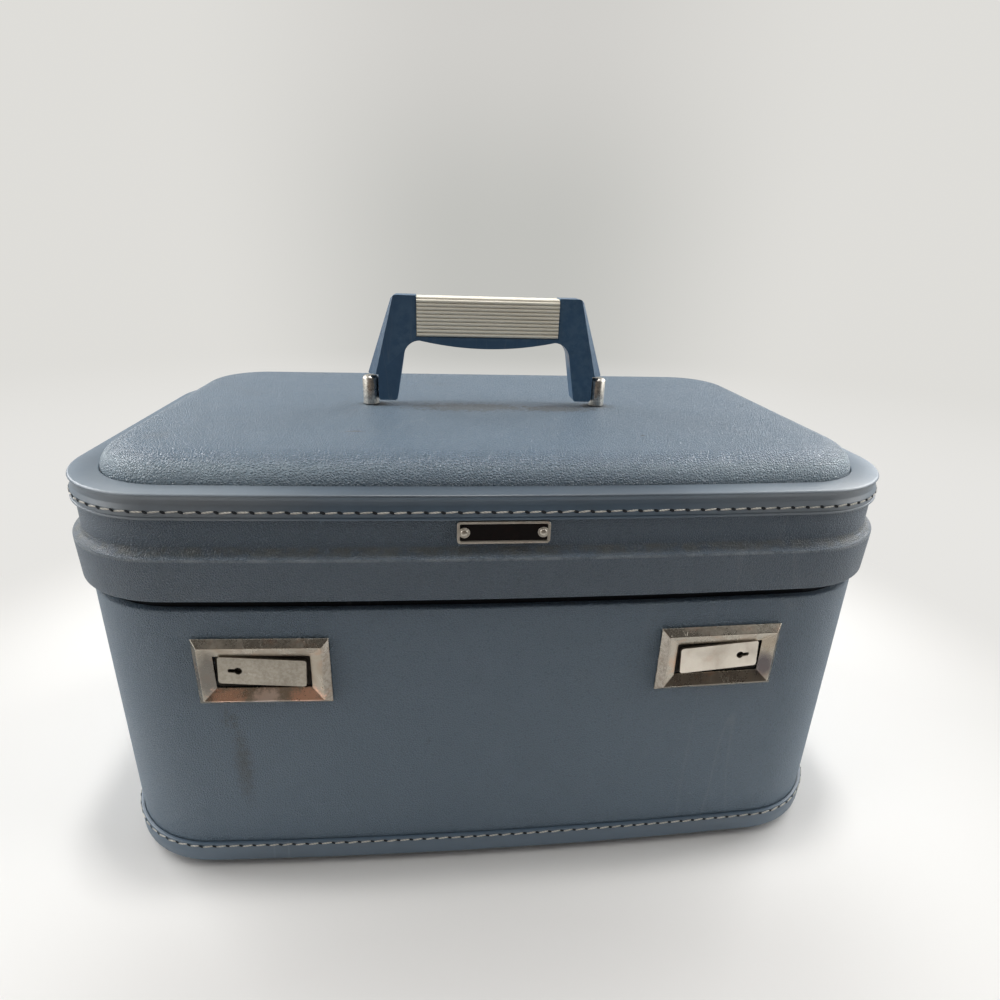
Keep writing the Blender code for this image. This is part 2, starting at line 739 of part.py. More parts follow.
# Hinges on the rear wall: two leaves, a pin and four rivets each
def build_hinge(side, centre_x, body_shell, lid_shell):
    half = HINGE_WIDTH / 2
    knuckle = (HINGE_WIDTH - 2 * FIT) / 3
    rear_face = CASE_DEPTH / 2
    leaf_y = rear_face + FIT
    body_top = body_top_z - LEAF_TOP_DROP
    bm = bmesh.new()
    box_mesh(
        bm,
        (centre_x - half, leaf_y, body_top - BODY_LEAF_HEIGHT),
        (centre_x + half, leaf_y + HINGE_LEAF, body_top),
    )
    body_leaf = finish_mesh(f"hinge_body_leaf_{side}", bm, nickel, case_empty)
    for index in (0, 2):
        start = centre_x - half + index * (knuckle + FIT)
        end = start + knuckle
        link_low = (start, leaf_y, body_top - LEAF_LINK_DROP)
        link = make_box("link", link_low, (end, hinge_y, hinge_z), nickel, case_empty)
        boolean(body_leaf, link, "UNION")
        ends = ((start, hinge_y, hinge_z), (end, hinge_y, hinge_z))
        boolean(body_leaf, make_cylinder("knuckle", *ends, HINGE_BARREL_RADIUS, nickel, case_empty), "UNION")

    lid_leaf_y = rear_face + COLLAR_STEP + FIT
    lid_leaf_low = hinge_z + HINGE_BARREL_RADIUS + 2 * FIT
    lid_leaf = make_box(
        f"hinge_lid_leaf_{side}",
        (centre_x - half, lid_leaf_y, lid_leaf_low),
        (centre_x + half, lid_leaf_y + HINGE_LEAF, lid_leaf_low + LID_LEAF_HEIGHT),
        nickel,
        lid_empty,
        lid_origin,
    )
    start = centre_x - half + knuckle + FIT
    end = start + knuckle
    link_low = (start, lid_leaf_y, hinge_z)
    link_high = (end, lid_leaf_y + HINGE_LEAF, lid_leaf_low + HINGE_LEAF)
    boolean(lid_leaf, make_box("link", link_low, link_high, nickel, lid_empty, lid_origin), "UNION")
    ends = ((start, hinge_y, hinge_z), (end, hinge_y, hinge_z))
    barrel = make_cylinder("knuckle", *ends, HINGE_BARREL_RADIUS, nickel, lid_empty, lid_origin)
    boolean(lid_leaf, barrel, "UNION")

    for leaf, parent, origin in ((body_leaf, case_empty, (0, 0, 0)), (lid_leaf, lid_empty, lid_origin)):
        reach = half + CUT_OVERRUN
        ends = ((centre_x - reach, hinge_y, hinge_z), (centre_x + reach, hinge_y, hinge_z))
        bore = make_cylinder("bore", *ends, HINGE_PIN_RADIUS + PIN_FIT, nickel, parent, origin)
        boolean(leaf, bore)

    head_base = half + FIT
    pin_profile = [(0, head_base + HINGE_PIN_HEAD_LENGTH)]
    for radius_share, height_share in PIN_HEAD_SHARES:
        pin_profile.append((HINGE_PIN_HEAD * radius_share, head_base + HINGE_PIN_HEAD_LENGTH * height_share))
    pin_profile += [
        (HINGE_PIN_HEAD, head_base),
        (HINGE_PIN_RADIUS, head_base),
        (HINGE_PIN_RADIUS, -head_base),
        (0, -head_base),
    ]
    make_turned(
        f"hinge_pin_{side}",
        pin_profile,
        steel,
        case_empty,
        (centre_x, hinge_y, hinge_z),
        (0, quarter, 0),
    )

    body_rivet_z = body_top - BODY_RIVET_DROP
    lid_rivet_z = lid_leaf_low + LID_LEAF_HEIGHT / 2
    for label, offset in (("inner", -1), ("outer", 1)):
        x = centre_x + offset * math.copysign(HINGE_RIVET_SPACING / 2, centre_x)
        seat = (x, leaf_y + HINGE_LEAF + FIT, body_rivet_z)
        length = HINGE_LEAF + 2 * FIT + WALL - RIVET_SHORT_OF_WALL
        targets = (body_leaf, body_shell)
        add_rivet(
            f"hinge_rivet_body_{side}_{label}", case_empty, seat, outward_rear,
            RIVET_HEAD_RADIUS, RIVET_HEAD_HEIGHT, RIVET_SHANK_RADIUS, length, targets,
        )
        seat = (x, lid_leaf_y + HINGE_LEAF + FIT - hinge_y, lid_rivet_z - hinge_z)
        targets = (lid_leaf, lid_shell)
        add_rivet(
            f"hinge_rivet_lid_{side}_{label}", lid_empty, seat, outward_rear,
            RIVET_HEAD_RADIUS, RIVET_HEAD_HEIGHT, RIVET_SHANK_RADIUS, length, targets,
        )


# Latch sizes that several of its pieces share
window_width = BEZEL_WIDTH - 2 * (BEZEL_OUTER_BEVEL + BEZEL_INNER_BEVEL)
window_height = BEZEL_HEIGHT - 2 * (BEZEL_OUTER_BEVEL + BEZEL_INNER_BEVEL)
thumb_width = window_width - 2 * THUMB_GAP
thumb_height = window_height - THUMB_PLAY - 2 * THUMB_SWING_CLEARANCE
thumb_tilt = math.asin(THUMB_PLAY / thumb_width)
base_front = FIT + BASE_PLATE
thumb_back = base_front + FIT
thumb_front = thumb_back + THUMB_THICKNESS
bracket_depth = WALL + FIT
washer_depth = bracket_depth + BRACKET_THICKNESS + FIT
arm_depth = max(
    washer_depth + WASHER_THICKNESS + WASHER_DISH + FIT,
    WALL + 2 * FIT + VALANCE_THICKNESS + FIT,
)
spindle_end = arm_depth + ARM_THICKNESS + FIT
arm_head_z = lid_bottom_z + ARM_REACH_ABOVE_SEAM - latch_z
arm_head_shift = arm_head_z * math.sin(thumb_tilt)
strike_leg_depth = arm_depth + ARM_THICKNESS + STRIKE_CLEARANCE
strike_leg_end = strike_leg_depth + STRIKE_THICKNESS


# Latches: bezel, back plate, thumb plate on its spindle, bracket, washer, hooked arm, cover and strike
def build_latch(side, side_sign, body_shell, body_lining, lid_lining):
    """side_sign is -1 on the left. In the seat's frame -Y points out of the case and +Y into it."""
    turn = math.asin(side_sign * latch_x / bow_radius)
    seat_x = bow_radius * math.sin(turn)
    seat_y = bow_centre_y - bow_radius * math.cos(turn)
    seat = make_empty(f"latch_seat_{side}", (seat_x, seat_y, latch_z), case_empty, turn)
    lever_axis = make_empty(f"latch_axis_{side}", (0, 0, 0), seat)
    lever_axis.rotation_euler = (0, -side_sign * thumb_tilt, 0)
    strike_seat = make_empty(
        f"strike_seat_{side}", (seat_x, seat_y - hinge_y, latch_z - hinge_z), lid_empty, turn
    )

    half_width = BEZEL_WIDTH / 2
    half_height = BEZEL_HEIGHT / 2
    inset_to_window = BEZEL_OUTER_BEVEL + BEZEL_INNER_BEVEL
    bezel_rings = []
    for inset, rise in (
        (0, 0),
        (0, BEZEL_EDGE),
        (BEZEL_OUTER_BEVEL, BEZEL_RIDGE),
        (inset_to_window, BEZEL_INNER_LIP),
        (inset_to_window, 0),
    ):
        x = half_width - inset
        z = half_height - inset
        y = -FIT - rise
        bezel_rings.append([(x, y, z), (-x, y, z), (-x, y, -z), (x, y, -z)])
    loft(f"latch_bezel_{side}", bezel_rings, nickel, seat, closed=True)

    hole_ends = ((0, -CUT_OVERRUN, 0), (0, WALL + CUT_OVERRUN, 0))
    hole = make_cylinder(f"latch_hole_{side}", *hole_ends, SPINDLE_HOLE_RADIUS, steel, seat)
    boolean(body_shell, hole)

    bearing = SPINDLE_RADIUS + FIT
    full_turn = 4 * quarter
    bearing_hole = arc_points((0, 0), bearing, 0, full_turn, turned_steps)[:-1]
    plate_outline = rounded_rectangle(window_width - 2 * FIT, window_height - 2 * FIT, THUMB_CORNER, 2)
    base = make_plate(f"latch_base_{side}", [plate_outline, bearing_hole], BASE_PLATE, steel, seat)
    move_to(base, (0, -FIT - BASE_PLATE / 2, 0))

    keyhole_x = side_sign * (thumb_width / 2 - KEYHOLE_FROM_END)
    slot_angle = math.asin(KEYHOLE_SLOT / 2 / KEYHOLE_RADIUS)
    outward = 0 if side_sign > 0 else 2 * quarter
    keyhole = arc_points(
        (keyhole_x, 0), KEYHOLE_RADIUS, outward + slot_angle, outward + full_turn - slot_angle, 14
    )
    slot_x = keyhole_x + side_sign * (KEYHOLE_RADIUS + KEYHOLE_SLOT_LENGTH)
    slot_z = side_sign * KEYHOLE_SLOT / 2
    keyhole += [(slot_x, -slot_z), (slot_x, slot_z)]
    thumb_outline = rounded_rectangle(thumb_width, thumb_height, THUMB_CORNER)
    thumb = make_plate(f"thumb_plate_{side}", [thumb_outline, keyhole], THUMB_THICKNESS, nickel, lever_axis)
    move_to(thumb, (0, -thumb_back - THUMB_THICKNESS / 2, 0))
    spindle = make_cylinder(
        f"spindle_{side}", (0, -thumb_back - THUMB_THICKNESS / 2, 0), (0, spindle_end, 0), SPINDLE_RADIUS,
        nickel, lever_axis,
    )
    boolean(thumb, spindle, "UNION")

    bracket_outline = rounded_rectangle(BRACKET_WIDTH, BRACKET_HEIGHT, THUMB_CORNER, 2)
    bracket = make_plate(
        f"latch_bracket_{side}", [bracket_outline, bearing_hole], BRACKET_THICKNESS, steel, seat
    )
    move_to(bracket, (0, bracket_depth + BRACKET_THICKNESS / 2, 0))

    make_turned(
        f"latch_washer_{side}",
        [
            (bearing, WASHER_THICKNESS + WASHER_DISH),
            (WASHER_RADIUS, WASHER_THICKNESS),
            (WASHER_RADIUS, 0),
            (bearing, WASHER_DISH),
        ],
        steel,
        lever_axis,
        (0, washer_depth, 0),
        outward_rear,
        ring=True,
        steps=RIVET_STEPS,
    )

    stem = ARM_WIDTH / 2
    head_low = arm_head_z - ARM_HEAD_HEIGHT / 2
    hub_angle = math.acos(stem / ARM_HUB_RADIUS)
    arm_outline = arc_points((0, 0), ARM_HUB_RADIUS, 2 * quarter - hub_angle, full_turn + hub_angle, 16)
    arm_outline += [(stem, head_low + ARM_HEAD_HEIGHT), (-stem, head_low + ARM_HEAD_HEIGHT)]
    arm = make_plate(f"latch_arm_{side}", [arm_outline, bearing_hole], ARM_THICKNESS, steel, lever_axis)
    move_to(arm, (0, arm_depth + ARM_THICKNESS / 2, 0))
    head = make_box(
        f"arm_head_{side}",
        (-ARM_HEAD_WIDTH / 2, arm_depth + ARM_THICKNESS / 2, head_low),
        (ARM_HEAD_WIDTH / 2, strike_leg_end + FIT, head_low + ARM_HEAD_HEIGHT),
        steel,
        lever_axis,
    )
    boolean(arm, head, "UNION")

    cover_low = -COVER_BELOW_PIVOT
    cover_high = body_top_z - COVER_TOP_DROP - latch_z
    cover_front = bracket_depth + VALANCE_THICKNESS + FIT
    cover_deep = spindle_end + COVER_CLEARANCE
    cover = make_box(
        f"latch_cover_{side}",
        (-COVER_WIDTH / 2, cover_front, cover_low),
        (COVER_WIDTH / 2, cover_deep + COVER_SKIN, cover_high),
        nickel,
        seat,
    )
    hollow = make_box(
        f"cover_hollow_{side}",
        (COVER_SKIN - COVER_WIDTH / 2, 0, cover_low + COVER_SKIN),
        (COVER_WIDTH / 2 - COVER_SKIN, cover_deep, cover_high + CUT_OVERRUN),
        nickel,
        seat,
    )
    boolean(cover, hollow)

    lining_gap = make_box(
        f"lining_gap_{side}",
        (-BRACKET_WIDTH / 2 - FIT, 0, -BRACKET_HEIGHT / 2 - FIT),
        (BRACKET_WIDTH / 2 + FIT, cover_front + CUT_OVERRUN, valance_bottom_z + CUT_OVERRUN - latch_z),
        steel,
        seat,
    )
    boolean(body_lining, lining_gap)

    strike_low = valance_top_z + STRIKE_CLEARANCE - latch_z
    flange_depth = LID_INNER_INSET + FIT
    leg_low = head_low - STRIKE_CLEARANCE - STRIKE_HOOK
    leg_edge = ARM_HEAD_WIDTH / 2 - arm_head_shift + STRIKE_SIDE_GAP
    strike = make_box(
        f"strike_{side}",
        (-STRIKE_WIDTH / 2, flange_depth, strike_low),
        (STRIKE_WIDTH / 2, flange_depth + STRIKE_THICKNESS, strike_low + STRIKE_FLANGE_HEIGHT),
        nickel,
        strike_seat,
    )
    web = make_box(
        f"strike_web_{side}",
        (-STRIKE_WIDTH / 2, flange_depth, strike_low),
        (STRIKE_WIDTH / 2, strike_leg_end, strike_low + STRIKE_THICKNESS),
        nickel,
        strike_seat,
    )
    boolean(strike, web, "UNION")
    leg_sides = sorted((side_sign * leg_edge, side_sign * STRIKE_WIDTH / 2))
    leg = make_box(
        f"strike_leg_{side}",
        (leg_sides[0], strike_leg_depth, leg_low),
        (leg_sides[1], strike_leg_end, strike_low + STRIKE_THICKNESS / 2),
        nickel,
        strike_seat,
    )
    boolean(strike, leg, "UNION")
    notch_sides = sorted((side_sign * (leg_edge - CUT_OVERRUN), side_sign * (leg_edge + STRIKE_NOTCH_DEPTH)))
    notch = make_box(
        f"strike_notch_{side}",
        (notch_sides[0], strike_leg_depth - CUT_OVERRUN, leg_low + STRIKE_HOOK),
        (notch_sides[1], strike_leg_end + CUT_OVERRUN, head_low + ARM_HEAD_HEIGHT + STRIKE_CLEARANCE),
        nickel,
        strike_seat,
    )
    boolean(strike, notch)

    gap_depth = flange_depth + STRIKE_THICKNESS + CUT_OVERRUN
    gap_top = strike_low + STRIKE_FLANGE_HEIGHT + FIT
    strike_gap = make_box(
        f"strike_gap_{side}",
        (-STRIKE_WIDTH / 2 - FIT, 0, strike_low - CUT_OVERRUN),
        (STRIKE_WIDTH / 2 + FIT, gap_depth, gap_top),
        nickel,
        strike_seat,
    )
    boolean(lid_lining, strike_gap)


# Handle posts with their nuts, and the pins the handle swings on
def build_posts(lid_panel):
    post_base = FIT - PIVOT_HEIGHT
    post_top = post_base + POST_HEIGHT
    nut_top = -PIVOT_HEIGHT - DOME_THICKNESS - FIT
    stud_end = nut_top - NUT_THICKNESS
    posts_empty = make_empty("posts_centre", handle_empty.location, lid_empty)
    for side, sign in (("left", -1), ("right", 1)):
        x = sign * POST_SPACING / 2
        post = make_turned(
            f"handle_post_{side}",
            [
                (0, post_top),
                (POST_RADIUS - POST_CHAMFER, post_top),
                (POST_RADIUS - POST_CHAMFER / 3, post_top - POST_CHAMFER / 3),
                (POST_RADIUS, post_top - POST_CHAMFER),
                (POST_RADIUS, post_base),
                (STUD_RADIUS, post_base),
                (STUD_RADIUS, stud_end),
                (0, stud_end),
            ],
            nickel,
            posts_empty,
            (x, 0, 0),
        )
        inner_x = x - sign * POST_RADIUS
        hole_end = inner_x + sign * PIN_DEPTH_IN_POST
        hole_start = inner_x - sign * CUT_OVERRUN
        bore_ends = ((hole_start, 0, 0), (hole_end, 0, 0))
        bore_radius = HANDLE_PIN_RADIUS + PIN_FIT
        boolean(post, make_cylinder(f"post_bore_{side}", *bore_ends, bore_radius, steel, posts_empty))

        nut_ends = ((x, 0, nut_top), (x, 0, stud_end))
        nut = make_cylinder(f"post_nut_{side}", *nut_ends, NUT_RADIUS, steel, posts_empty, steps=6)
        for target, name in ((nut, "nut_bore"), (lid_panel, "stud_hole")):
            bore_ends = ((x, 0, CUT_OVERRUN - PIVOT_HEIGHT), (x, 0, stud_end - CUT_OVERRUN))
            bore = make_cylinder(f"{name}_{side}", *bore_ends, STUD_RADIUS + FIT, steel, posts_empty)
            boolean(target, bore)

        foot_face = inner_x - sign * FIT
        make_cylinder(
            f"handle_pin_{side}",
            (foot_face - sign * (PIN_DEPTH_IN_LEG - FIT), 0, 0),
            (hole_end - sign * FIT, 0, 0),
            HANDLE_PIN_RADIUS,
            steel,
            posts_empty,
        )


# Handle: moulded frame with a tongue that carries the ribbed grip sleeve
def build_handle():
    top = HANDLE_RISE
    leg_outer_x = POST_SPACING / 2 - POST_RADIUS - FIT
    leg_inner_x = leg_outer_x - LEG_FOOT_WIDTH
    slot_x = GRIP_LENGTH / 2
    slot_z = top - GRIP_TOP_DROP - GRIP_HEIGHT - FIT
    belly_end_z = slot_z - GRIP_BELLY / 2
    inner_x = leg_inner_x - LEG_INNER_LEAN
    corner_centre = (inner_x - INNER_CORNER, belly_end_z - INNER_CORNER)
    half = [
        (slot_x, slot_z),
        (slot_x, top),
        (HANDLE_TOP_WIDTH / 2, top),
        (LEG_SKIRT_WIDTH / 2, LEG_OVER_POST),
        (leg_outer_x, LEG_OVER_POST),
        (leg_outer_x, -LEG_BELOW_PIVOT),
        (leg_inner_x, -LEG_BELOW_PIVOT),
    ]
    half += arc_points(corner_centre, INNER_CORNER, 0, quarter, 5)
    belly_half = corner_centre[0]
    for step in range(1, BELLY_STEPS):
        share = 1 - step / BELLY_STEPS
        sag = GRIP_BELLY * (1 - share * share)
        half.append((belly_half * share, belly_end_z - sag))
    belly = [(0, belly_end_z - GRIP_BELLY)]
    outline = half + belly + [(-x, z) for x, z in reversed(half)]
    frame = make_plate("handle_frame", [outline], HANDLE_THICKNESS, moulding, handle_empty, HANDLE_EDGE)
    tongue = make_box(
        "handle_tongue",
        (-slot_x - CUT_OVERRUN, -TONGUE_HALF_THICKNESS, slot_z - GRIP_BELLY / 2),
        (slot_x + CUT_OVERRUN, TONGUE_HALF_THICKNESS, top - TONGUE_TOP_DROP),
        moulding,
        handle_empty,
    )
    boolean(frame, tongue, "UNION")
    for side, sign in (("left", -1), ("right", 1)):
        start = sign * (leg_outer_x + CUT_OVERRUN)
        end = sign * (leg_outer_x - PIN_DEPTH_IN_LEG)
        bore_radius = HANDLE_PIN_RADIUS + PIN_FIT
        bore = make_cylinder(f"leg_bore_{side}", (start, 0, 0), (end, 0, 0), bore_radius, steel, handle_empty)
        boolean(frame, bore)

    sleeve_low = slot_z + FIT
    sleeve_high = sleeve_low + GRIP_HEIGHT
    rib = (GRIP_HEIGHT - HANDLE_EDGE) / GRIP_RIBS
    ridge_y = GRIP_HALF_THICKNESS
    groove_y = GRIP_HALF_THICKNESS - RIB_DEPTH
    side_points = []
    for index in range(GRIP_RIBS):
        low = sleeve_low + rib * index
        groove = rib * RIB_GROOVE_SHARE
        side_points += [(groove_y, low), (ridge_y, low + groove / 2), (ridge_y, low + rib - groove / 2)]
    side_points += [(groove_y, sleeve_high - HANDLE_EDGE), (groove_y - HANDLE_EDGE, sleeve_high)]
    channel_y = TONGUE_HALF_THICKNESS + FIT
    channel_z = top - TONGUE_TOP_DROP + FIT
    section = [(-y, z) for y, z in reversed(side_points)]
    section += [(-channel_y, sleeve_low), (-channel_y, channel_z)]
    section += [(channel_y, channel_z), (channel_y, sleeve_low)]
    section += side_points
    length = slot_x - FIT
    rings = [[(x, y, z) for y, z in section] for x in (-length, length)]
    loft("grip_sleeve", rings, ivory, handle_empty)


# Bare nameplate with its two rivets, on the front of the lid's upper wall
def build_nameplate(lid_shell):
    upper_low = lid_bottom_z + COLLAR_HEIGHT + COLLAR_BEAD + COLLAR_SHOULDER
    upper_high = lid_wall_top_z - REBATE_HEIGHT
    plate_z = (upper_low + upper_high) / 2 + PLATE_LIFT
    front = -CASE_DEPTH / 2 - FRONT_BOW
    seat = make_empty("nameplate_seat", (0, front - hinge_y, plate_z - hinge_z), lid_empty)
    face = -FIT - PLATE_THICKNESS
    field = face + PLATE_RECESS
    rings = []
    for shrink, y in ((0, -FIT), (0, face), (PLATE_FRAME, face), (PLATE_FRAME, field)):
        corner = PLATE_CORNER - shrink / 2
        outline = rounded_rectangle(PLATE_WIDTH - 2 * shrink, PLATE_HEIGHT - 2 * shrink, corner, 3)
        rings.append([(x, y, z) for x, z in outline])
    plate = loft("nameplate", rings, enamel, seat)
    for side, sign in (("left", -1), ("right", 1)):
        add_rivet(
            f"nameplate_rivet_{side}", seat, (sign * PLATE_RIVET_SPACING / 2, field - FIT, 0), outward_front,
            PLATE_RIVET_RADIUS, PLATE_RIVET_HEIGHT, PLATE_SHANK_RADIUS, PLATE_THICKNESS + PLATE_SHANK_IN_WALL,
            (plate, lid_shell),
        )


body_shell, body_lining = build_body()
lid_shell, lid_panel, lid_lining = build_lid()
for side, sign in (("left", -1), ("right", 1)):
    build_hinge(side, sign * hinge_x, body_shell, lid_shell)
    build_latch(side, sign, body_shell, body_lining, lid_lining)
build_posts(lid_panel)
build_handle()
build_nameplate(lid_shell)
bpy.context.view_layer.update()
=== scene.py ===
import json
import math
import random

import bmesh
import bpy
from mathutils import Matrix, Vector

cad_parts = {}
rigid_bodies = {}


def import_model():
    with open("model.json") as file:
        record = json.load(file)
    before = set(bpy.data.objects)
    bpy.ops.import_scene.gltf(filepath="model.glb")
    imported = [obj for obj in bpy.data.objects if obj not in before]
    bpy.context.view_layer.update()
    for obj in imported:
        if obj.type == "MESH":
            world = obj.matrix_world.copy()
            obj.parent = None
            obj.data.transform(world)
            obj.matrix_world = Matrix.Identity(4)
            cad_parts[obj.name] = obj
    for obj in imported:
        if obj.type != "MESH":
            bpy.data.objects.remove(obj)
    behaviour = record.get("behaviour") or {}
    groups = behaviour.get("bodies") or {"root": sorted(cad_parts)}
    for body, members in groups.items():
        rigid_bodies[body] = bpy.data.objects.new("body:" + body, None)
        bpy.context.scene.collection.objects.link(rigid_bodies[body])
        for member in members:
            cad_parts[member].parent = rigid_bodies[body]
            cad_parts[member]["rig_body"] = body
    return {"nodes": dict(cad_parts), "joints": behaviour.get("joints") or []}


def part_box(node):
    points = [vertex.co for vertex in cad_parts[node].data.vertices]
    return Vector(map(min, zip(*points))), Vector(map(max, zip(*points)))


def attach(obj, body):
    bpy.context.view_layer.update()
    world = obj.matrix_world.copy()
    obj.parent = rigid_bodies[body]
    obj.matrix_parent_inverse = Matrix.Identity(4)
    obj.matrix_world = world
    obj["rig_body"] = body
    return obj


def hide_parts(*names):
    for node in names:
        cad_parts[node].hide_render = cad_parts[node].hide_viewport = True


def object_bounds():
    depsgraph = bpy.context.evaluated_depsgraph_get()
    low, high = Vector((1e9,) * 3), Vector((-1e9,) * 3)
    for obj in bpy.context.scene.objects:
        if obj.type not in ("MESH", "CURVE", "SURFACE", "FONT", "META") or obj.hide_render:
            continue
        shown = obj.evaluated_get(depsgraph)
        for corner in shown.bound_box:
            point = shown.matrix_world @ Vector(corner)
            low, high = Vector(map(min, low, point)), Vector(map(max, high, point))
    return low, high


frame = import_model()
cadLow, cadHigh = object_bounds()
nodes = frame["nodes"]
joints = {joint["name"]: joint for joint in frame["joints"]}
mm = 0.001
quarter = math.pi / 2
print("frame loaded,", len(nodes), "nodes")


# Small helpers for shader trees
def feed(tree, socket, value):
    if isinstance(value, bpy.types.NodeSocket):
        tree.links.new(value, socket)
    elif socket.type == "RGBA":
        socket.default_value = (*value, 1)
    else:
        socket.default_value = value


def calc(tree, operation, a, b=0.0):
    node = tree.nodes.new("ShaderNodeMath")
    node.operation = operation
    feed(tree, node.inputs[0], a)
    feed(tree, node.inputs[1], b)
    return node.outputs[0]


def product(tree, a, b):
    return calc(tree, "MULTIPLY", a, b)


def addShare(tree, base, value, share):
    return calc(tree, "ADD", base, product(tree, value, share))


def vectorMaths(tree, operation, a, b=(0, 0, 0)):
    node = tree.nodes.new("ShaderNodeVectorMath")
    node.operation = operation
    feed(tree, node.inputs[0], a)
    feed(tree, node.inputs[1], b)
    return node.outputs["Value"] if operation == "LENGTH" else node.outputs["Vector"]


def splitXYZ(tree, vector):
    node = tree.nodes.new("ShaderNodeSeparateXYZ")
    feed(tree, node.inputs[0], vector)
    return node.outputs


def remap(tree, value, low, high, outLow=0.0, outHigh=1.0):
    node = tree.nodes.new("ShaderNodeMapRange")
    node.interpolation_type = "SMOOTHSTEP"
    labels = ("Value", "From Min", "From Max", "To Min", "To Max")
    for label, number in zip(labels, (value, low, high, outLow, outHigh)):
        feed(tree, node.inputs[label], number)
    return node.outputs["Result"]


def blendColour(tree, mask, first, second):
    node = tree.nodes.new("ShaderNodeMix")
    node.data_type = "RGBA"
    for index, value in ((0, mask), (6, first), (7, second)):  # factor and the two colour sockets
        feed(tree, node.inputs[index], value)
    return node.outputs[2]


def addLayers(tree, colour, *layers):
    for mask, strength, tone in layers:
        colour = blendColour(tree, product(tree, mask, strength), colour, tone)
    return colour


def addTexture(tree, kind, vector, scale, **settings):
    node = tree.nodes.new("ShaderNodeTex" + kind)
    for label, value in {"Vector": vector, "Scale": scale, **settings}.items():
        feed(tree, node.inputs[label], value)
    return node


def noise(tree, vector, scale, detail=3.0, roughness=0.55, distortion=0.0):
    settings = {"Detail": detail, "Roughness": roughness, "Distortion": distortion}
    return addTexture(tree, "Noise", vector, scale, **settings).outputs["Fac"]


def stretch(tree, vector, scale, shift=(0, 0, 0), turn=(0, 0, 0)):
    node = tree.nodes.new("ShaderNodeMapping")
    for label, value in (("Vector", vector), ("Scale", scale), ("Location", shift), ("Rotation", turn)):
        feed(tree, node.inputs[label], value)
    return node.outputs[0]


# Every group takes a position first, and gives masks or heights
def startGroup(name, results, **inputs):
    group = bpy.data.node_groups.new(name, "ShaderNodeTree")
    for label, value in {"Position": (0, 0, 0), **inputs}.items():
        kind = "NodeSocketVector" if isinstance(value, tuple) else "NodeSocketFloat"
        socket = group.interface.new_socket(name=label, in_out="INPUT", socket_type=kind)
        socket.default_value = value
    for label in results:
        group.interface.new_socket(name=label, in_out="OUTPUT", socket_type="NodeSocketFloat")
    entry = group.nodes.new("NodeGroupInput")
    leave = group.nodes.new("NodeGroupOutput")
    return group, entry.outputs, leave.inputs


def placeGroup(tree, group, position, **values):
    node = tree.nodes.new("ShaderNodeGroup")
    node.node_tree = group
    for label, value in {"Position": position, **values}.items():
        feed(tree, node.inputs[label], value)
    return node.outputs


# Effects that several finishes share
def makePebbleGrain():
    group, given, out = startGroup("pebbleGrain", ["Height", "Valleys"], PebblesPerMetre=1000.0, Wander=0.35)
    position = given["Position"]
    pebbles = given["PebblesPerMetre"]
    drift = addTexture(group, "Noise", position, product(group, pebbles, 0.6), Detail=2.0)
    scaled = group.nodes.new("ShaderNodeVectorMath")
    scaled.operation = "SCALE"
    feed(group, scaled.inputs[0], drift.outputs["Color"])
    feed(group, scaled.inputs["Scale"], calc(group, "DIVIDE", given["Wander"], pebbles))
    moved = vectorMaths(group, "ADD", position, scaled.outputs["Vector"])
    cells = addTexture(group, "Voronoi", moved, pebbles)
    cells.feature = "DISTANCE_TO_EDGE"
    edge = cells.outputs["Distance"]
    fine = noise(group, position, product(group, pebbles, 3.1), 2.0)
    feed(group, out["Height"], addShare(group, remap(group, edge, 0.0, 0.32), fine, 0.25))
    feed(group, out["Valleys"], remap(group, edge, 0.0, 0.14, 1.0, 0.0))
    return group


def makeDirtPatches():
    group, given, out = startGroup("dirtPatches", ["Mask"], Scale=12.0, Low=0.5, High=0.75)
    value = noise(group, given["Position"], given["Scale"], 7.0, 0.62, 0.4)
    feed(group, out["Mask"], remap(group, value, given["Low"], given["High"]))
    return group


def makeStain():
    group, given, out = startGroup("stain", ["Mask"], Centre=(0, 0, 0), Radii=(0.01, 0.01, 0.01),
                                   Breakup=0.5, Grain=400.0)
    away = vectorMaths(group, "SUBTRACT", given["Position"], given["Centre"])
    reach = vectorMaths(group, "LENGTH", vectorMaths(group, "DIVIDE", away, given["Radii"]))
    rough = noise(group, given["Position"], given["Grain"], 4.0, 0.7)
    ragged = product(group, calc(group, "SUBTRACT", rough, 0.5), product(group, given["Breakup"], 3.0))
    feed(group, out["Mask"], remap(group, calc(group, "ADD", reach, ragged), 0.35, 1.0, 1.0, 0.0))
    return group


def makeEdgeWear():
    group, given, out = startGroup("edgeWear", ["Mask"], Start=0.52, End=0.6, Scale=300.0)
    geometry = group.nodes.new("ShaderNodeNewGeometry")
    edge = remap(group, geometry.outputs["Pointiness"], given["Start"], given["End"])
    broken = remap(group, noise(group, given["Position"], given["Scale"], 4.0, 0.7), 0.35, 0.62)
    feed(group, out["Mask"], product(group, edge, broken))
    return group


def makeScratches():
    group, given, out = startGroup("scratches", ["Mask"], Scale=60.0, Amount=0.04)
    masks = []
    for turn, shift in ((0.5, 0.0), (-0.9, 3.7), (1.9, 8.1)):
        lines = stretch(group, given["Position"], (1, 1, 0.12), (shift, shift, shift), (turn, turn, 0))
        value = noise(group, lines, given["Scale"], 2.0, 0.5, 0.3)
        away = calc(group, "ABSOLUTE", calc(group, "SUBTRACT", value, 0.5))
        thin = remap(group, away, 0.0, product(group, given["Amount"], 0.25), 1.0, 0.0)
        patch = remap(group, noise(group, lines, product(group, given["Scale"], 0.2)), 0.55, 0.68)
        masks.append(product(group, thin, patch))
    pair = calc(group, "MAXIMUM", masks[0], masks[1])
    feed(group, out["Mask"], calc(group, "MAXIMUM", pair, masks[2]))
    return group


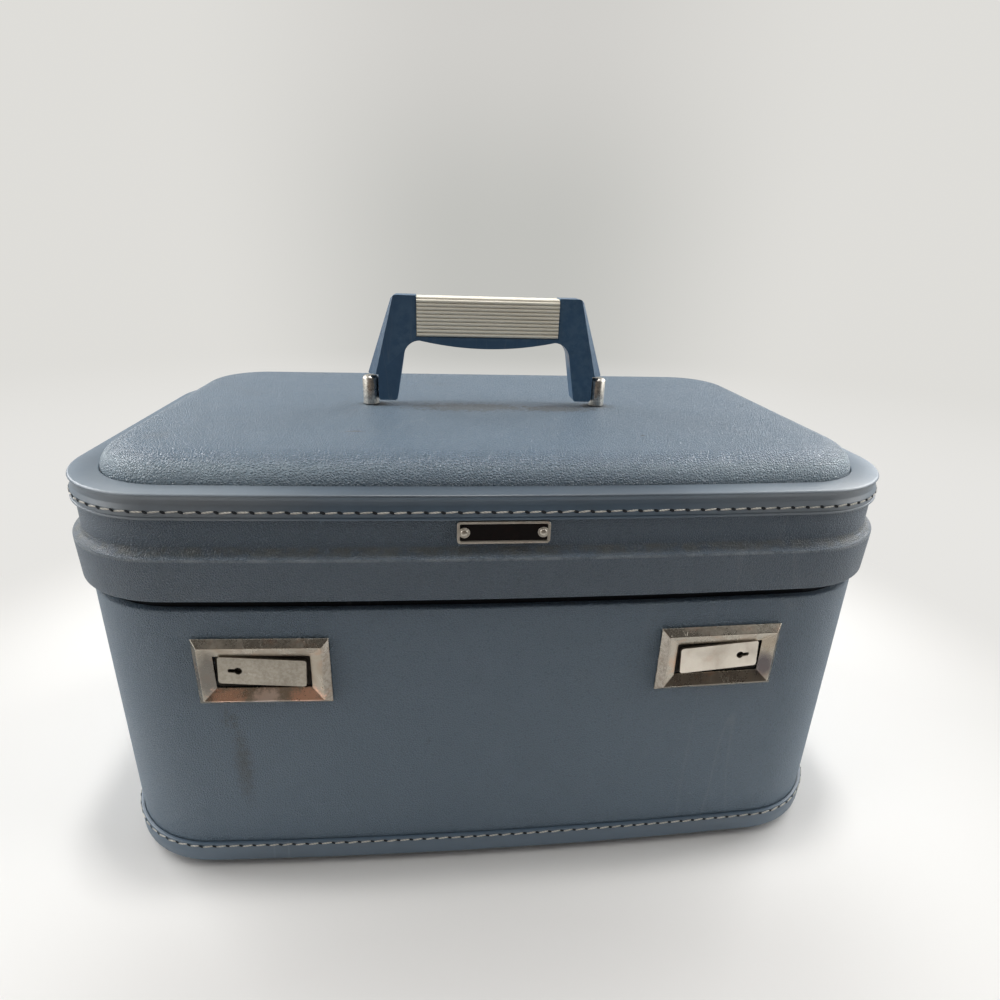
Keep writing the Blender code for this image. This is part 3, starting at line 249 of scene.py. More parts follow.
def makeClothWeave():
    group, given, out = startGroup("clothWeave", ["Height"], Fineness=2200.0)
    heights = []
    for direction in ("X", "Y", "Z"):
        scale = calc(group, "DIVIDE", given["Fineness"], 20.0)  # wave textures count 20 for one unit
        wave = addTexture(group, "Wave", given["Position"], scale, Distortion=0.6)
        wave.bands_direction = direction
        heights.append(wave.outputs["Fac"])
    first = calc(group, "MAXIMUM", heights[0], heights[1])
    feed(group, out["Height"], calc(group, "ADD", first, heights[2]))
    return group


pebbleGrain = makePebbleGrain()
dirtPatches = makeDirtPatches()
stain = makeStain()
edgeWear = makeEdgeWear()
scratches = makeScratches()
clothWeave = makeClothWeave()


def dirtMask(tree, position, scale, low, high):
    return placeGroup(tree, dirtPatches, position, Scale=scale, Low=low, High=high)["Mask"]


def scratchMask(tree, position, scale, amount):
    return placeGroup(tree, scratches, position, Scale=scale, Amount=amount)["Mask"]


def wearMask(tree, position, start, end, scale):
    return placeGroup(tree, edgeWear, position, Start=start, End=end, Scale=scale)["Mask"]


def stainMask(tree, position, centre, radii, breakup, grain):
    values = {"Centre": centre, "Radii": radii, "Breakup": breakup, "Grain": grain}
    return placeGroup(tree, stain, position, **values)["Mask"]


print("shared effects made")


# Finishes: each starts with its material, node tree, shader and object position
def startFinish(name, metallic=0.0, specular=0.5, coat=0.0, coatRoughness=0.2):
    material = bpy.data.materials.new(name)
    material.use_nodes = True
    tree = material.node_tree
    shader = tree.nodes["Principled BSDF"]
    shader.inputs["Metallic"].default_value = metallic
    shader.inputs["Specular IOR Level"].default_value = specular
    shader.inputs["Coat Weight"].default_value = coat
    shader.inputs["Coat Roughness"].default_value = coatRoughness
    position = tree.nodes.new("ShaderNodeTexCoord").outputs["Object"]
    return material, tree, shader, position


def setLook(tree, shader, colour, roughness):
    feed(tree, shader.inputs["Base Color"], colour)
    feed(tree, shader.inputs["Roughness"], roughness)


def addBump(tree, shader, height, distance, strength=1.0, under=None):
    bump = tree.nodes.new("ShaderNodeBump")
    bump.inputs["Distance"].default_value = distance
    bump.inputs["Strength"].default_value = strength
    feed(tree, bump.inputs["Height"], height)
    if under:
        feed(tree, bump.inputs["Normal"], under)
    feed(tree, shader.inputs["Normal"], bump.outputs["Normal"])
    return bump.outputs["Normal"]


vinylLook = {
    "colour": (0.100, 0.160, 0.228),
    "faded": (0.135, 0.195, 0.255),
    "valley": (0.045, 0.078, 0.115),
    "dirt": (0.070, 0.075, 0.072),
    "scuff": (0.26, 0.30, 0.33),
    # pale tone: painted sheen on the dome's roll and painted light on the body wall
    "wearAndSheen": (0.22, 0.295, 0.355),
    # painted shade tone for the lid wall
    "soot": (0.020, 0.024, 0.030),
    "grime": (0.105, 0.105, 0.080),
    "roughness": 0.42,
    "specular": 0.85,
    "rollHeight": 4 * mm,
    "rollEnds": (30 * mm, 110 * mm),
    "beadBands": [  # height above the bead, reach at full strength, reach at none, strength and tone
        (2.6 * mm, 0.6 * mm, 2.4 * mm, 0.55, "grime"),
        (0, 0.2 * mm, 0.9 * mm, 0.6, "scuff"),
    ],
}


def makePebbledVinyl(name, pebblesPerMetre, depth, stains, dullness=0.0, paintedShade=0.0, bead=None,
                     rollSheenBelow=None, paintedLight=0.0):
    look = vinylLook
    material, tree, shader, position = startFinish(name, specular=look["specular"])
    parts = splitXYZ(tree, position)
    grain = placeGroup(tree, pebbleGrain, position, PebblesPerMetre=pebblesPerMetre)
    fade = dirtMask(tree, position, 9.0, 0.35, 0.7)
    soil = dirtMask(tree, position, 21.0, 0.56, 0.82)
    marks = scratchMask(tree, position, 34.0, 0.05)
    colour = addLayers(tree, look["colour"], (fade, 0.3, look["faded"]),
                       (grain["Valleys"], 0.55, look["valley"]), (soil, 0.25, look["dirt"]),
                       (marks, 0.2, look["scuff"]))
    # painted light: the body wall is washed paler than the lid wall
    if paintedLight:
        colour = blendColour(tree, paintedLight, colour, look["wearAndSheen"])
    # painted shade: the lid wall is darkened
    if paintedShade:
        colour = blendColour(tree, paintedShade, colour, look["soot"])
    if rollSheenBelow:  # painted sheen: the roll round the dome is paler, most towards its ends
        roll = remap(tree, parts["Z"], rollSheenBelow, rollSheenBelow - look["rollHeight"])
        ends = remap(tree, calc(tree, "ABSOLUTE", parts["X"]), *look["rollEnds"], 0.45, 0.95)
        colour = addLayers(tree, colour, (roll, ends, look["wearAndSheen"]))
    if bead:  # grime lies above the bead, and the bead itself is rubbed
        patchy = remap(tree, noise(tree, position, 140.0, 4.0, 0.7), 0.3, 0.65)
        for height, full, none, strength, tone in look["beadBands"]:
            away = calc(tree, "ABSOLUTE", calc(tree, "SUBTRACT", parts["Z"], bead + height))
            band = remap(tree, away, full, none, strength, 0.0)
            colour = addLayers(tree, colour, (band, patchy, look[tone]))
    roughness = addShare(tree, look["roughness"] + dullness, fade, 0.1)
    for centre, radii, amount, breakup, tone in stains:
        spot = product(tree, stainMask(tree, position, centre, radii, breakup, 400.0), amount)
        colour = blendColour(tree, spot, colour, tone)
        roughness = addShare(tree, roughness, spot, 0.2)
    setLook(tree, shader, colour, roughness)
    under = addBump(tree, shader, noise(tree, position, 16.0, 2.0), 1.2 * mm, 0.5)
    addBump(tree, shader, grain["Height"], depth, 1.0, under)
    return material


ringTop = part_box("lid_binding")[1].z
smoothLook = {
    "colour": (0.098, 0.150, 0.208),
    "edge": (0.20, 0.26, 0.31),
    "dirt": (0.050, 0.055, 0.058),
    "dust": (0.058, 0.066, 0.074),
    # pale tone, painted as sheen towards the corners of the lid's edge
    "wearAndSheen": (0.245, 0.270, 0.290),
    "roughness": 0.42,
    "dustZ": (ringTop - 1.2 * mm, ringTop - 0.4 * mm),
    "cornerX": (50 * mm, 120 * mm),
    "sideX": (170 * mm, 140 * mm),
    "cornerZ": (100 * mm, 140 * mm),
    "cornerSheen": 0.55,
}


def makeSmoothVinyl():
    look = smoothLook
    material, tree, shader, position = startFinish("smoothBindingVinyl", specular=0.8)
    tone = dirtMask(tree, position, 14.0, 0.4, 0.75)
    worn = wearMask(tree, position, 0.53, 0.6, 160.0)
    marks = scratchMask(tree, position, 48.0, 0.07)
    parts = splitXYZ(tree, position)
    aside = calc(tree, "ABSOLUTE", parts["X"])
    corner = remap(tree, aside, *look["cornerX"])
    middle = calc(tree, "SUBTRACT", 1.0, corner)
    # painted shade: the middle of the ring top is darkened
    middleShade = product(tree, middle, remap(tree, parts["Z"], *look["dustZ"]))
    for limit in (remap(tree, aside, *look["sideX"]), remap(tree, parts["Z"], *look["cornerZ"])):
        corner = product(tree, corner, limit)  # painted sheen: the lid's edge is painted paler towards the corners
    colour = addLayers(tree, look["colour"], (tone, 0.35, look["dirt"]), (worn, 0.35, look["edge"]),
                       (marks, 0.3, look["edge"]), (middleShade, 0.6, look["dust"]),
                       (corner, look["cornerSheen"], look["wearAndSheen"]))
    uneven = noise(tree, position, 60.0, 4.0)
    setLook(tree, shader, colour, addShare(tree, look["roughness"] - 0.08, uneven, 0.16))
    ripple = noise(tree, stretch(tree, position, (1, 1, 2.5)), 45.0, 2.0)
    under = addBump(tree, shader, ripple, 0.5 * mm, 0.5)
    addBump(tree, shader, noise(tree, position, 900.0, 3.0, 0.6), 0.04 * mm, 1.0, under)
    return material


def makeThread():
    material, tree, shader, position = startFinish("stitchThread", specular=0.3)
    wave = addTexture(tree, "Wave", position, 420.0, Distortion=1.0)
    wave.bands_direction = "DIAGONAL"
    twist = wave.outputs["Fac"]
    soil = dirtMask(tree, position, 70.0, 0.4, 0.75)
    colour = addLayers(tree, (0.72, 0.70, 0.64), (soil, 0.6, (0.36, 0.37, 0.36)),
                       (twist, 0.35, (0.14, 0.15, 0.155)))
    setLook(tree, shader, colour, 0.75)
    addBump(tree, shader, twist, 0.12 * mm)
    return material


def makeSlotShadow():
    # painted shade for the stitch holes
    material, tree, shader, position = startFinish("stitchSlotShade", specular=0.2)
    grit = noise(tree, position, 900.0, 3.0)
    setLook(tree, shader, blendColour(tree, grit, (0.012, 0.014, 0.017), (0.035, 0.04, 0.046)), 0.85)
    addBump(tree, shader, grit, 0.05 * mm)
    return material


nickelLook = {
    "tarnish": (0.36, 0.29, 0.22),
    "copper": (0.55, 0.33, 0.22),
    "edge": (0.86, 0.82, 0.74),
}


def makeNickel(name, brushing, tarnish, roughness, bright, spots=()):
    look = nickelLook
    material, tree, shader, position = startFinish(name, metallic=1.0)
    cloud = dirtMask(tree, position, 70.0, 0.38, 0.68)
    rust = dirtMask(tree, stretch(tree, position, (1, 1, 1), (0.31, 0.17, 0.05)), 120.0, 0.52, 0.72)
    colour = addLayers(tree, bright, (cloud, tarnish, look["tarnish"]),
                       (rust, tarnish * 0.9, look["copper"]))
    # given patches: on the bezels partly tarnish, partly painted reflections and shade; on the left thumb
    # plate painted shade
    for centre, radii, strength, breakup, tone in spots:
        mask = stainMask(tree, position, centre, radii, breakup, 500.0)
        colour = addLayers(tree, colour, (mask, strength, tone))
    worn = wearMask(tree, position, 0.51, 0.57, 700.0)
    colour = addLayers(tree, colour, (worn, 0.25 if brushing else 0.8, look["edge"]))
    pits = noise(tree, position, 1500.0, 3.0, 0.7)
    uneven = addShare(tree, product(tree, cloud, 0.16), pits, 0.12)
    setLook(tree, shader, colour, calc(tree, "ADD", uneven, roughness - 0.06))
    if brushing:
        addBump(tree, shader, noise(tree, stretch(tree, position, brushing), 1.0, 4.0, 0.7), 0.04 * mm)
    else:
        marks = scratchMask(tree, position, 420.0, 0.12)
        addBump(tree, shader, addShare(tree, marks, pits, 0.5), 0.025 * mm)
    return material


def makePlainSteel():
    material, tree, shader, position = startFinish("plainSteel", metallic=1.0)
    spangle = addTexture(tree, "Voronoi", position, 260.0).outputs["Distance"]
    tone = blendColour(tree, spangle, (0.50, 0.50, 0.48), (0.33, 0.33, 0.33))
    dust = dirtMask(tree, position, 90.0, 0.42, 0.7)
    colour = addLayers(tree, tone, (dust, 0.5, (0.16, 0.14, 0.12)))
    setLook(tree, shader, colour, addShare(tree, 0.32, dust, 0.25))
    addBump(tree, shader, noise(tree, position, 1200.0, 3.0), 0.02 * mm)
    return material


# painted shade: the latch base is near black, so the keyholes look dark
def makeShadowedSteel():
    material, tree, shader, position = startFinish("keyholeShadeSteel", metallic=0.6)
    dust = dirtMask(tree, position, 240.0, 0.4, 0.7)
    setLook(tree, shader, blendColour(tree, dust, (0.018, 0.015, 0.013), (0.05, 0.042, 0.034)), 0.7)
    addBump(tree, shader, dust, 0.05 * mm)
    return material


mouldingLook = {
    "colour": (0.050, 0.117, 0.208),
    "wearAndSheen": (0.10, 0.18, 0.27),
    "dark": (0.028, 0.068, 0.125),
    "scratch": (0.22, 0.26, 0.29),
    "roughness": 0.36,
}


def makeMoulding():
    look = mouldingLook
    material, tree, shader, position = startFinish("handleMoulding", coat=0.15, coatRoughness=0.3)
    tone = dirtMask(tree, position, 30.0, 0.35, 0.75)
    worn = wearMask(tree, position, 0.51, 0.58, 260.0)
    marks = scratchMask(tree, position, 120.0, 0.08)
    colour = addLayers(tree, look["colour"], (tone, 0.45, look["dark"]), (worn, 0.5, look["wearAndSheen"]),
                       (marks, 0.2, look["scratch"]))
    setLook(tree, shader, colour, addShare(tree, look["roughness"], tone, 0.14))
    addBump(tree, shader, noise(tree, position, 500.0, 3.0), 0.05 * mm)
    return material


def makeIvory():
    material, tree, shader, position = startFinish("gripIvory", specular=0.45)
    tone = dirtMask(tree, stretch(tree, position, (0.3, 1, 1)), 70.0, 0.4, 0.75)
    attribute = tree.nodes.new("ShaderNodeAttribute")
    attribute.attribute_name = "grooveMask"
    rough = noise(tree, stretch(tree, position, (0.15, 1, 1)), 300.0, 4.0, 0.7)
    # partly grime, partly painted shade: darker in the grooves between the ribs
    deep = remap(tree, attribute.outputs["Fac"], 0.35, 0.95)
    grime = product(tree, deep, remap(tree, rough, 0.15, 0.55))
    colour = addLayers(tree, (0.97, 0.93, 0.80), (tone, 0.5, (0.86, 0.78, 0.62)),
                       (grime, 0.7, (0.38, 0.32, 0.235)))
    setLook(tree, shader, colour, addShare(tree, 0.36, tone, 0.2))
    addBump(tree, shader, noise(tree, position, 800.0, 3.0), 0.03 * mm)
    return material


def makeEnamel():
    material, tree, shader, position = startFinish("plateEnamel", specular=0.15)
    dust = dirtMask(tree, position, 160.0, 0.45, 0.75)
    colour = blendColour(tree, dust, (0.004, 0.002, 0.002), (0.014, 0.007, 0.006))
    setLook(tree, shader, colour, addShare(tree, 0.55, dust, 0.3))
    addBump(tree, shader, noise(tree, position, 700.0, 3.0), 0.03 * mm)
    return material


def makeValancePaint():
    material, tree, shader, position = startFinish("valancePaint", specular=0.2)
    marks = scratchMask(tree, position, 90.0, 0.09)
    tone = dirtMask(tree, position, 26.0, 0.4, 0.75)
    colour = addLayers(tree, (0.016, 0.019, 0.024), (tone, 0.5, (0.035, 0.038, 0.043)),
                       (marks, 0.2, (0.11, 0.11, 0.11)))
    setLook(tree, shader, colour, addShare(tree, 0.62, tone, 0.2))
    addBump(tree, shader, noise(tree, position, 600.0, 3.0), 0.04 * mm)
    return material


def makeLiningCloth():
    material, tree, shader, position = startFinish("liningCloth", specular=0.35)
    weave = placeGroup(tree, clothWeave, position)["Height"]
    folds = noise(tree, stretch(tree, position, (1, 1, 0.25)), 26.0, 3.0, 0.5, 0.8)
    soil = dirtMask(tree, position, 11.0, 0.45, 0.8)
    colour = addLayers(tree, (0.24, 0.31, 0.38), (folds, 0.5, (0.36, 0.43, 0.49)),
                       (soil, 0.35, (0.20, 0.20, 0.18)))
    setLook(tree, shader, colour, addShare(tree, 0.5, weave, 0.12))
    under = addBump(tree, shader, folds, 1.6 * mm, 0.6)
    addBump(tree, shader, weave, 0.06 * mm, 0.8, under)
    return material


def makeBoard():
    material, tree, shader, position = startFinish("bottomBoard", specular=0.3)
    fibres = noise(tree, stretch(tree, position, (1, 0.2, 1)), 260.0, 5.0, 0.7)
    soil = dirtMask(tree, position, 18.0, 0.45, 0.75)
    board = blendColour(tree, fibres, (0.030, 0.038, 0.048), (0.075, 0.085, 0.095))
    setLook(tree, shader, addLayers(tree, board, (soil, 0.5, (0.10, 0.09, 0.075))), 0.8)
    addBump(tree, shader, fibres, 0.12 * mm)
    return material


def makeMirrorGlass():
    material, tree, shader, position = startFinish("mirrorGlass", metallic=1.0)
    spots = dirtMask(tree, position, 140.0, 0.66, 0.72)
    haze = dirtMask(tree, position, 15.0, 0.45, 0.8)
    colour = blendColour(tree, spots, (0.80, 0.83, 0.84), (0.22, 0.20, 0.17))
    setLook(tree, shader, colour, addShare(tree, addShare(tree, 0.03, haze, 0.05), spots, 0.4))
    return material


# Stains: centre and radii in mm, strength, raggedness and tone
smear = (0.060, 0.060, 0.055)
speck = (0.03, 0.035, 0.04)
frontY = cadLow.y / mm
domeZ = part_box("lid_panel")[1].z
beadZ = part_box("lid_shell")[0].z + 18.2 * mm  # the bead along the top of the collar


def inMetres(rows):
    return [(tuple(v * mm for v in centre), tuple(v * mm for v in radii), *rest)
            for centre, radii, *rest in rows]


wallStains = inMetres([
    ((-111, frontY, 60), (7.5, 9, 36), 0.8, 0.2, smear),
    ((-114, frontY, 85), (6, 9, 11), 0.55, 0.4, smear),
    ((124.5, frontY + 2, 96), (1.3, 6, 1.4), 0.8, 0.3, speck),
    ((117, frontY + 1, 80), (1.2, 6, 1.5), 0.7, 0.3, speck),
    ((-30, frontY, 70), (2, 6, 4), 0.3, 0.6, (0.05, 0.055, 0.06)),
    ((97, frontY, 90), (1.5, 6, 1.2), 0.5, 0.4, speck),
])
# Patches on the latch bezels: partly tarnish, partly painted reflections and painted shade on their bevels
frameTarnishAndReflections = inMetres([
    ((-118.4, frontY, 109), (6.6, 20, 17), 0.9, 0.15, (0.17, 0.16, 0.145)),
    ((-70.8, frontY, 110), (3, 20, 26), 0.6, 0.3, (0.31, 0.27, 0.23)),
    ((-112, frontY, 98), (9, 20, 6), 0.8, 0.5, (1.0, 0.66, 0.50)),
    ((-96, frontY, 98), (8, 20, 6), 0.8, 0.5, (1.0, 0.86, 0.78)),
    ((-80, frontY, 98), (10, 20, 6), 0.9, 0.5, (1.0, 0.64, 0.48)),
    ((118.6, frontY, 105.5), (6.2, 20, 9), 0.92, 0.12, (0.13, 0.115, 0.122)),
    ((118.6, frontY, 117), (6, 20, 6), 0.5, 0.3, (0.42, 0.34, 0.25)),
    ((71.5, frontY, 110), (3.4, 20, 26), 0.7, 0.3, (0.32, 0.28, 0.24)),
])
# painted shade: the left thumb plate is darkened
leftPlateShade = inMetres([((-97, frontY, 110), (60, 30, 40), 0.95, 0.06, (0.33, 0.30, 0.25))])
domeStains = inMetres([
    ((-57, -8, domeZ / mm), (9, 7, 9), 0.6, 0.5, (0.060, 0.052, 0.042)),
    ((58, -9, domeZ / mm), (12, 8, 9), 0.6, 0.5, (0.060, 0.055, 0.048)),
    ((-8, -14, domeZ / mm), (40, 12, 9), 0.75, 0.6, (0.070, 0.078, 0.082)),
    ((36, -16, domeZ / mm), (28, 9, 9), 0.75, 0.6, (0.070, 0.075, 0.078)),
    ((-61, -61, domeZ / mm), (5, 2, 9), 0.5, 0.7, (0.12, 0.10, 0.09)),
    ((66, -66, domeZ / mm), (1.4, 1.4, 9), 0.8, 0.2, speck),
])

finish = {
    # painted light: the body wall is made paler
    "wall": makePebbledVinyl("pebbledVinylWall", 1050.0, 0.32 * mm, wallStains, 0.04, paintedLight=0.12),
    # painted shade: the lid wall is darkened
    "lidWall": makePebbledVinyl("pebbledVinylLidWall", 1050.0, 0.28 * mm, [], 0.04, 0.32, beadZ),
    # painted sheen on the dome's roll
    "dome": makePebbledVinyl("pebbledVinylDome", 900.0, 0.44 * mm, domeStains, rollSheenBelow=domeZ - 2 * mm),
    "binding": makeSmoothVinyl(),
    "thread": makeThread(),
    "slot": makeSlotShadow(),
    "frame": makeNickel("agedNickel", None, 0.75, 0.25, (0.44, 0.405, 0.345), frameTarnishAndReflections),
    "plate": makeNickel("brushedThumbPlate", (1600, 200, 90), 0.25, 0.34, (0.78, 0.72, 0.63), leftPlateShade),
    "post": makeNickel("postNickel", None, 0.05, 0.27, (0.45, 0.43, 0.39)),
    "rivet": makeNickel("rivetNickel", None, 0.45, 0.32, (0.58, 0.54, 0.48)),
    "steel": makePlainSteel(),
    "grimy": makeShadowedSteel(),
    "moulding": makeMoulding(),
    "ivory": makeIvory(),
    "enamel": makeEnamel(),
    "valance": makeValancePaint(),
    "lining": makeLiningCloth(),
    "board": makeBoard(),
    "mirror": makeMirrorGlass(),
}
print("finishes made")


def meshFrom(bm, name):
    mesh = bpy.data.meshes.new(name)
    bm.to_mesh(mesh)
    bm.free()
    return mesh


def placeObject(name, data):
    thing = bpy.data.objects.new(name, data)
    bpy.context.scene.collection.objects.link(thing)
    return thing


def pick(items, kind):
    return [item for item in items if isinstance(item, kind)]


# Finishing a piece: normals, shading, rounded edges and its body
def finishPiece(name, bm, look, body, slotName, edge=0.0, segments=2, sharp=35):
    bmesh.ops.remove_doubles(bm, verts=bm.verts, dist=0.002 * mm)
    bmesh.ops.recalc_face_normals(bm, faces=bm.faces)
    mesh = meshFrom(bm, name)
    for material in (look if isinstance(look, list) else [look]):
        mesh.materials.append(finish[material])
    mesh.shade_smooth()
    piece = placeObject(name, mesh)
    if edge:
        bevel = piece.modifiers.new("roundedEdges", "BEVEL")
        bevel.width = edge
        bevel.segments = segments
        bevel.limit_method = "ANGLE"
        bevel.angle_limit = math.radians(sharp)
        bevel.harden_normals = True
    else:
        mesh.set_sharp_from_angle(angle=math.radians(sharp))
    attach(piece, body)
    return piece


def pieceName(nodeName):
    words = nodeName.split("_")
    return words[0] + "".join(word.capitalize() for word in words[1:])


# A piece that stands for one node, on the same body
def replaceNode(nodeName, bm, look, slotName, name=None, **edges):
    body = nodes[nodeName]["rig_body"]
    piece = finishPiece(name or pieceName(nodeName), bm, look, body, slotName, **edges)
    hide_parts(nodeName)


# A merged and smoothed copy of a node whose shape is already right
def smoothCopy(nodeName, look, slotName, edge=0.0, sharp=35):
    bm = bmesh.new()
    bm.from_mesh(nodes[nodeName].data)
    bmesh.ops.remove_doubles(bm, verts=bm.verts, dist=0.01 * mm)
    bmesh.ops.dissolve_limit(bm, angle_limit=math.radians(1), verts=bm.verts, edges=bm.edges)
    replaceNode(nodeName, bm, look, slotName, edge=edge, sharp=sharp)


# The plan of the case: rings round it are spun from one vertex
plan = {
    "width": 350 * mm,
    "depth": 210 * mm,
    "cornerRadius": 46 * mm,
    "frontBow": 3 * mm,
    "cornerSteps": 22,
    "bowSteps": 26,
}
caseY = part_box("body_shell")[1].y - plan["depth"] / 2
cornerX = plan["width"] / 2 - plan["cornerRadius"]
cornerY = plan["depth"] / 2 - plan["cornerRadius"]
bowAngle = 2 * math.atan(plan["frontBow"] / cornerX)
bowCentreY = cornerX / math.tan(bowAngle) - cornerY


def spinFrom(bm, vert, centre, angle, steps):
    before = set(bm.verts)
    bmesh.ops.spin(bm, geom=[vert], cent=centre, axis=(0, 0, 1), angle=angle, steps=steps)
    made = [v for v in bm.verts if v not in before]
    reach = Matrix.Rotation(angle, 3, "Z") @ (vert.co - centre) + centre
    return min(made, key=lambda v: (v.co - reach).length)


# The outline of the case; each point also keeps its plan position and its outward direction
def startOutline():
    bm = bmesh.new()
    radius = plan["cornerRadius"]
    rearRight = Vector((cornerX, caseY + cornerY, 0))
    rearLeft = Vector((-cornerX, caseY + cornerY, 0))
    frontLeft = Vector((-cornerX, caseY - cornerY, 0))
    frontRight = Vector((cornerX, caseY - cornerY, 0))
    bowCentre = Vector((0, caseY + bowCentreY, 0))
    stops = [
        (rearRight, quarter, plan["cornerSteps"], 0),
        (rearLeft, quarter, plan["cornerSteps"], quarter),
        (frontLeft, quarter - bowAngle, plan["cornerSteps"], 2 * quarter),
        (bowCentre, 2 * bowAngle, plan["bowSteps"], None),
        (frontRight, quarter - bowAngle, plan["cornerSteps"], None),
    ]
    vert = bm.verts.new(frontRight + Vector((radius, 0, 0)))
    for centre, angle, steps, start in stops:
        if start is not None:  # a straight side leads to this corner
            drawn = bmesh.ops.extrude_vert_indiv(bm, verts=[vert])["verts"][0]
            drawn.co = centre + Vector((math.cos(start), math.sin(start), 0)) * radius
            vert = drawn
        vert = spinFrom(bm, vert, centre, angle, steps)
    bmesh.ops.remove_doubles(bm, verts=bm.verts, dist=0.01 * mm)
    spot = bm.verts.layers.float_vector.new("planSpot")
    outward = bm.verts.layers.float_vector.new("planOutward")
    for vert in bm.verts:
        centre = bowCentre
        if abs(vert.co.x) >= cornerX - 0.01 * mm or vert.co.y > caseY:
            behind = math.copysign(cornerY, vert.co.y - caseY)
            centre = Vector((math.copysign(cornerX, vert.co.x), caseY + behind, 0))
        vert[spot] = vert.co
        vert[outward] = (vert.co - centre).normalized()
    return bm, spot, outward


def moveRing(verts, spot, outward, inset, height):
    for vert in verts:
        vert.co = Vector(vert[spot]) - Vector(vert[outward]) * inset
        vert.co.z = height


# A wall that follows a profile of (inset, height) points all round the case
def caseWall(profile, closed=True):
    bm, spot, outward = startOutline()
    first = bm.edges[:]
    ring = first
    moveRing(bm.verts, spot, outward, *profile[0])
    for inset, height in profile[1:]:
        made = bmesh.ops.extrude_edge_only(bm, edges=ring)["geom"]
        ring = pick(made, bmesh.types.BMEdge)
        moveRing(pick(made, bmesh.types.BMVert), spot, outward, inset, height)
    if closed:
        bmesh.ops.bridge_loops(bm, edges=first + ring)
    else:
        for rim in (first, ring):
            bmesh.ops.contextual_create(bm, geom=rim)
    return bm


def roundedPath(points, radii, steps=4):
    # corners of a profile drawn as arcs; a radius of 0 keeps the corner
    path = []
    for index, (point, radius) in enumerate(zip(points, radii)):
        here = Vector(point)
        if not radius:
            path.append(tuple(here))
            continue
        before = (Vector(points[index - 1]) - here).normalized()
        after = (Vector(points[(index + 1) % len(points)]) - here).normalized()
        half = before.angle(after) / 2
        reach = radius / math.tan(half)
        centre = here + (before + after).normalized() * (radius / math.sin(half))
        first = here + before * reach - centre
        last = here + after * reach - centre
        swing = first.angle_signed(last)
        for step in range(steps + 1):
            turned = Matrix.Rotation(-swing * step / steps, 2) @ first
            path.append(tuple(centre + turned))
    return path


# Body wall
bodyWall = {
    "thickness": 4 * mm,
    "topRound": 0.9 * mm,
    "chamfer": 2 * mm,
    "chamferRound": 0.5 * mm,
    "reveal": 3.1 * mm,
    "bandGap": 0.3 * mm,
    "bandThickness": 1.5 * mm,
}


def buildBodyWall():
    w = bodyWall
    low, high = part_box("body_shell")
    high.z -= w["reveal"]  # the dark band shows between wall and collar
    points = [
        (0, high.z),
        (0, low.z + w["chamfer"]),
        (w["chamfer"], low.z),
        (w["thickness"], low.z),
        (w["thickness"], high.z),
    ]
    profile = roundedPath(points, [w["topRound"], w["chamferRound"], 0, 0, w["topRound"]])
    replaceNode("body_shell", caseWall(profile), "wall", "pebbled_vinyl", "bodyWall")
    low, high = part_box("valance_band")
    front = w["thickness"] + w["bandGap"]
    back = front + w["bandThickness"]
    profile = roundedPath([(front, high.z), (front, low.z), (back, low.z), (back, high.z)],
                          [0.6 * mm, 0, 0, 0.4 * mm])
    replaceNode("valance_band", caseWall(profile), "valance", "valance_band")


# Bottom binding
bottomBinding = {
    "proud": 1.8 * mm,
    "weltHeight": 1.5 * mm,
    "weltProud": 0.5 * mm,
    "curl": 2.2 * mm,
    "drop": 2.5 * mm,
    "turnUnder": 14 * mm,
    "skin": 2 * mm,
    "stitchHeight": 13.6 * mm,
}


def buildBottomBinding():
    b = bottomBinding
    low, high = [corner - Vector((0, 0, b["drop"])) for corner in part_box("bottom_binding")]
    proud = b["proud"]
    groove = high.z - b["weltHeight"]
    points = [
        (-0.3 * mm, high.z),
        (-proud + 0.1 * mm, high.z),
        (-proud + 0.1 * mm, groove),
        (-proud + b["weltProud"], groove - 0.35 * mm),
        (-proud + 0.3 * mm, groove - 0.7 * mm),
        (-proud, groove - 3.6 * mm),
        (-proud, low.z),
        (b["turnUnder"], low.z),
        (b["turnUnder"], low.z + b["skin"]),
        (1.7 * mm, low.z + b["skin"]),
        (-0.3 * mm, low.z + b["skin"] + 2 * mm),
    ]
    radii = [0, 0.6 * mm, 0.5 * mm, 0.2 * mm, 0.2 * mm, 2 * mm, b["curl"], 0, 0, 0, 0]
    profile = roundedPath(points, radii, 5)
    replaceNode("bottom_binding", caseWall(profile), "binding", "smooth_binding")


# Lid wall with its stepped collar
lidWall = {
    "inner": 3.2 * mm,
    "collarStep": 3.5 * mm,
    "collarTaper": 0.5 * mm,
    "collarHeight": 18 * mm,
    "bead": 0.8 * mm,
    "shoulder": 3.2 * mm,
    "rebateHeight": 4.9 * mm,
    "rebateDepth": 1.2 * mm,
}


def buildLidWall():
    low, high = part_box("lid_shell")
    w = lidWall
    collarZ = low.z + w["collarHeight"]
    proud = w["collarStep"] - w["collarTaper"]
    points = [
        (w["inner"], low.z),
        (-proud, low.z),
        (-w["collarStep"], collarZ - 1.2 * mm),
        (-w["collarStep"], collarZ + w["bead"]),
        (-0.6 * mm, collarZ + w["bead"] + w["shoulder"] * 0.55),
        (0, collarZ + w["bead"] + w["shoulder"]),
        (0, high.z - w["rebateHeight"]),
        (w["rebateDepth"], high.z - w["rebateHeight"]),
        (w["rebateDepth"], high.z),
        (w["inner"], high.z),
    ]
    radii = [0, 0.9 * mm, 4 * mm, 0.9 * mm, 1.6 * mm, 1.6 * mm, 0, 0, 0, 0]
    profile = roundedPath(points, radii, 5)
    replaceNode("lid_shell", caseWall(profile), "lidWall", "pebbled_vinyl", "lidWall")


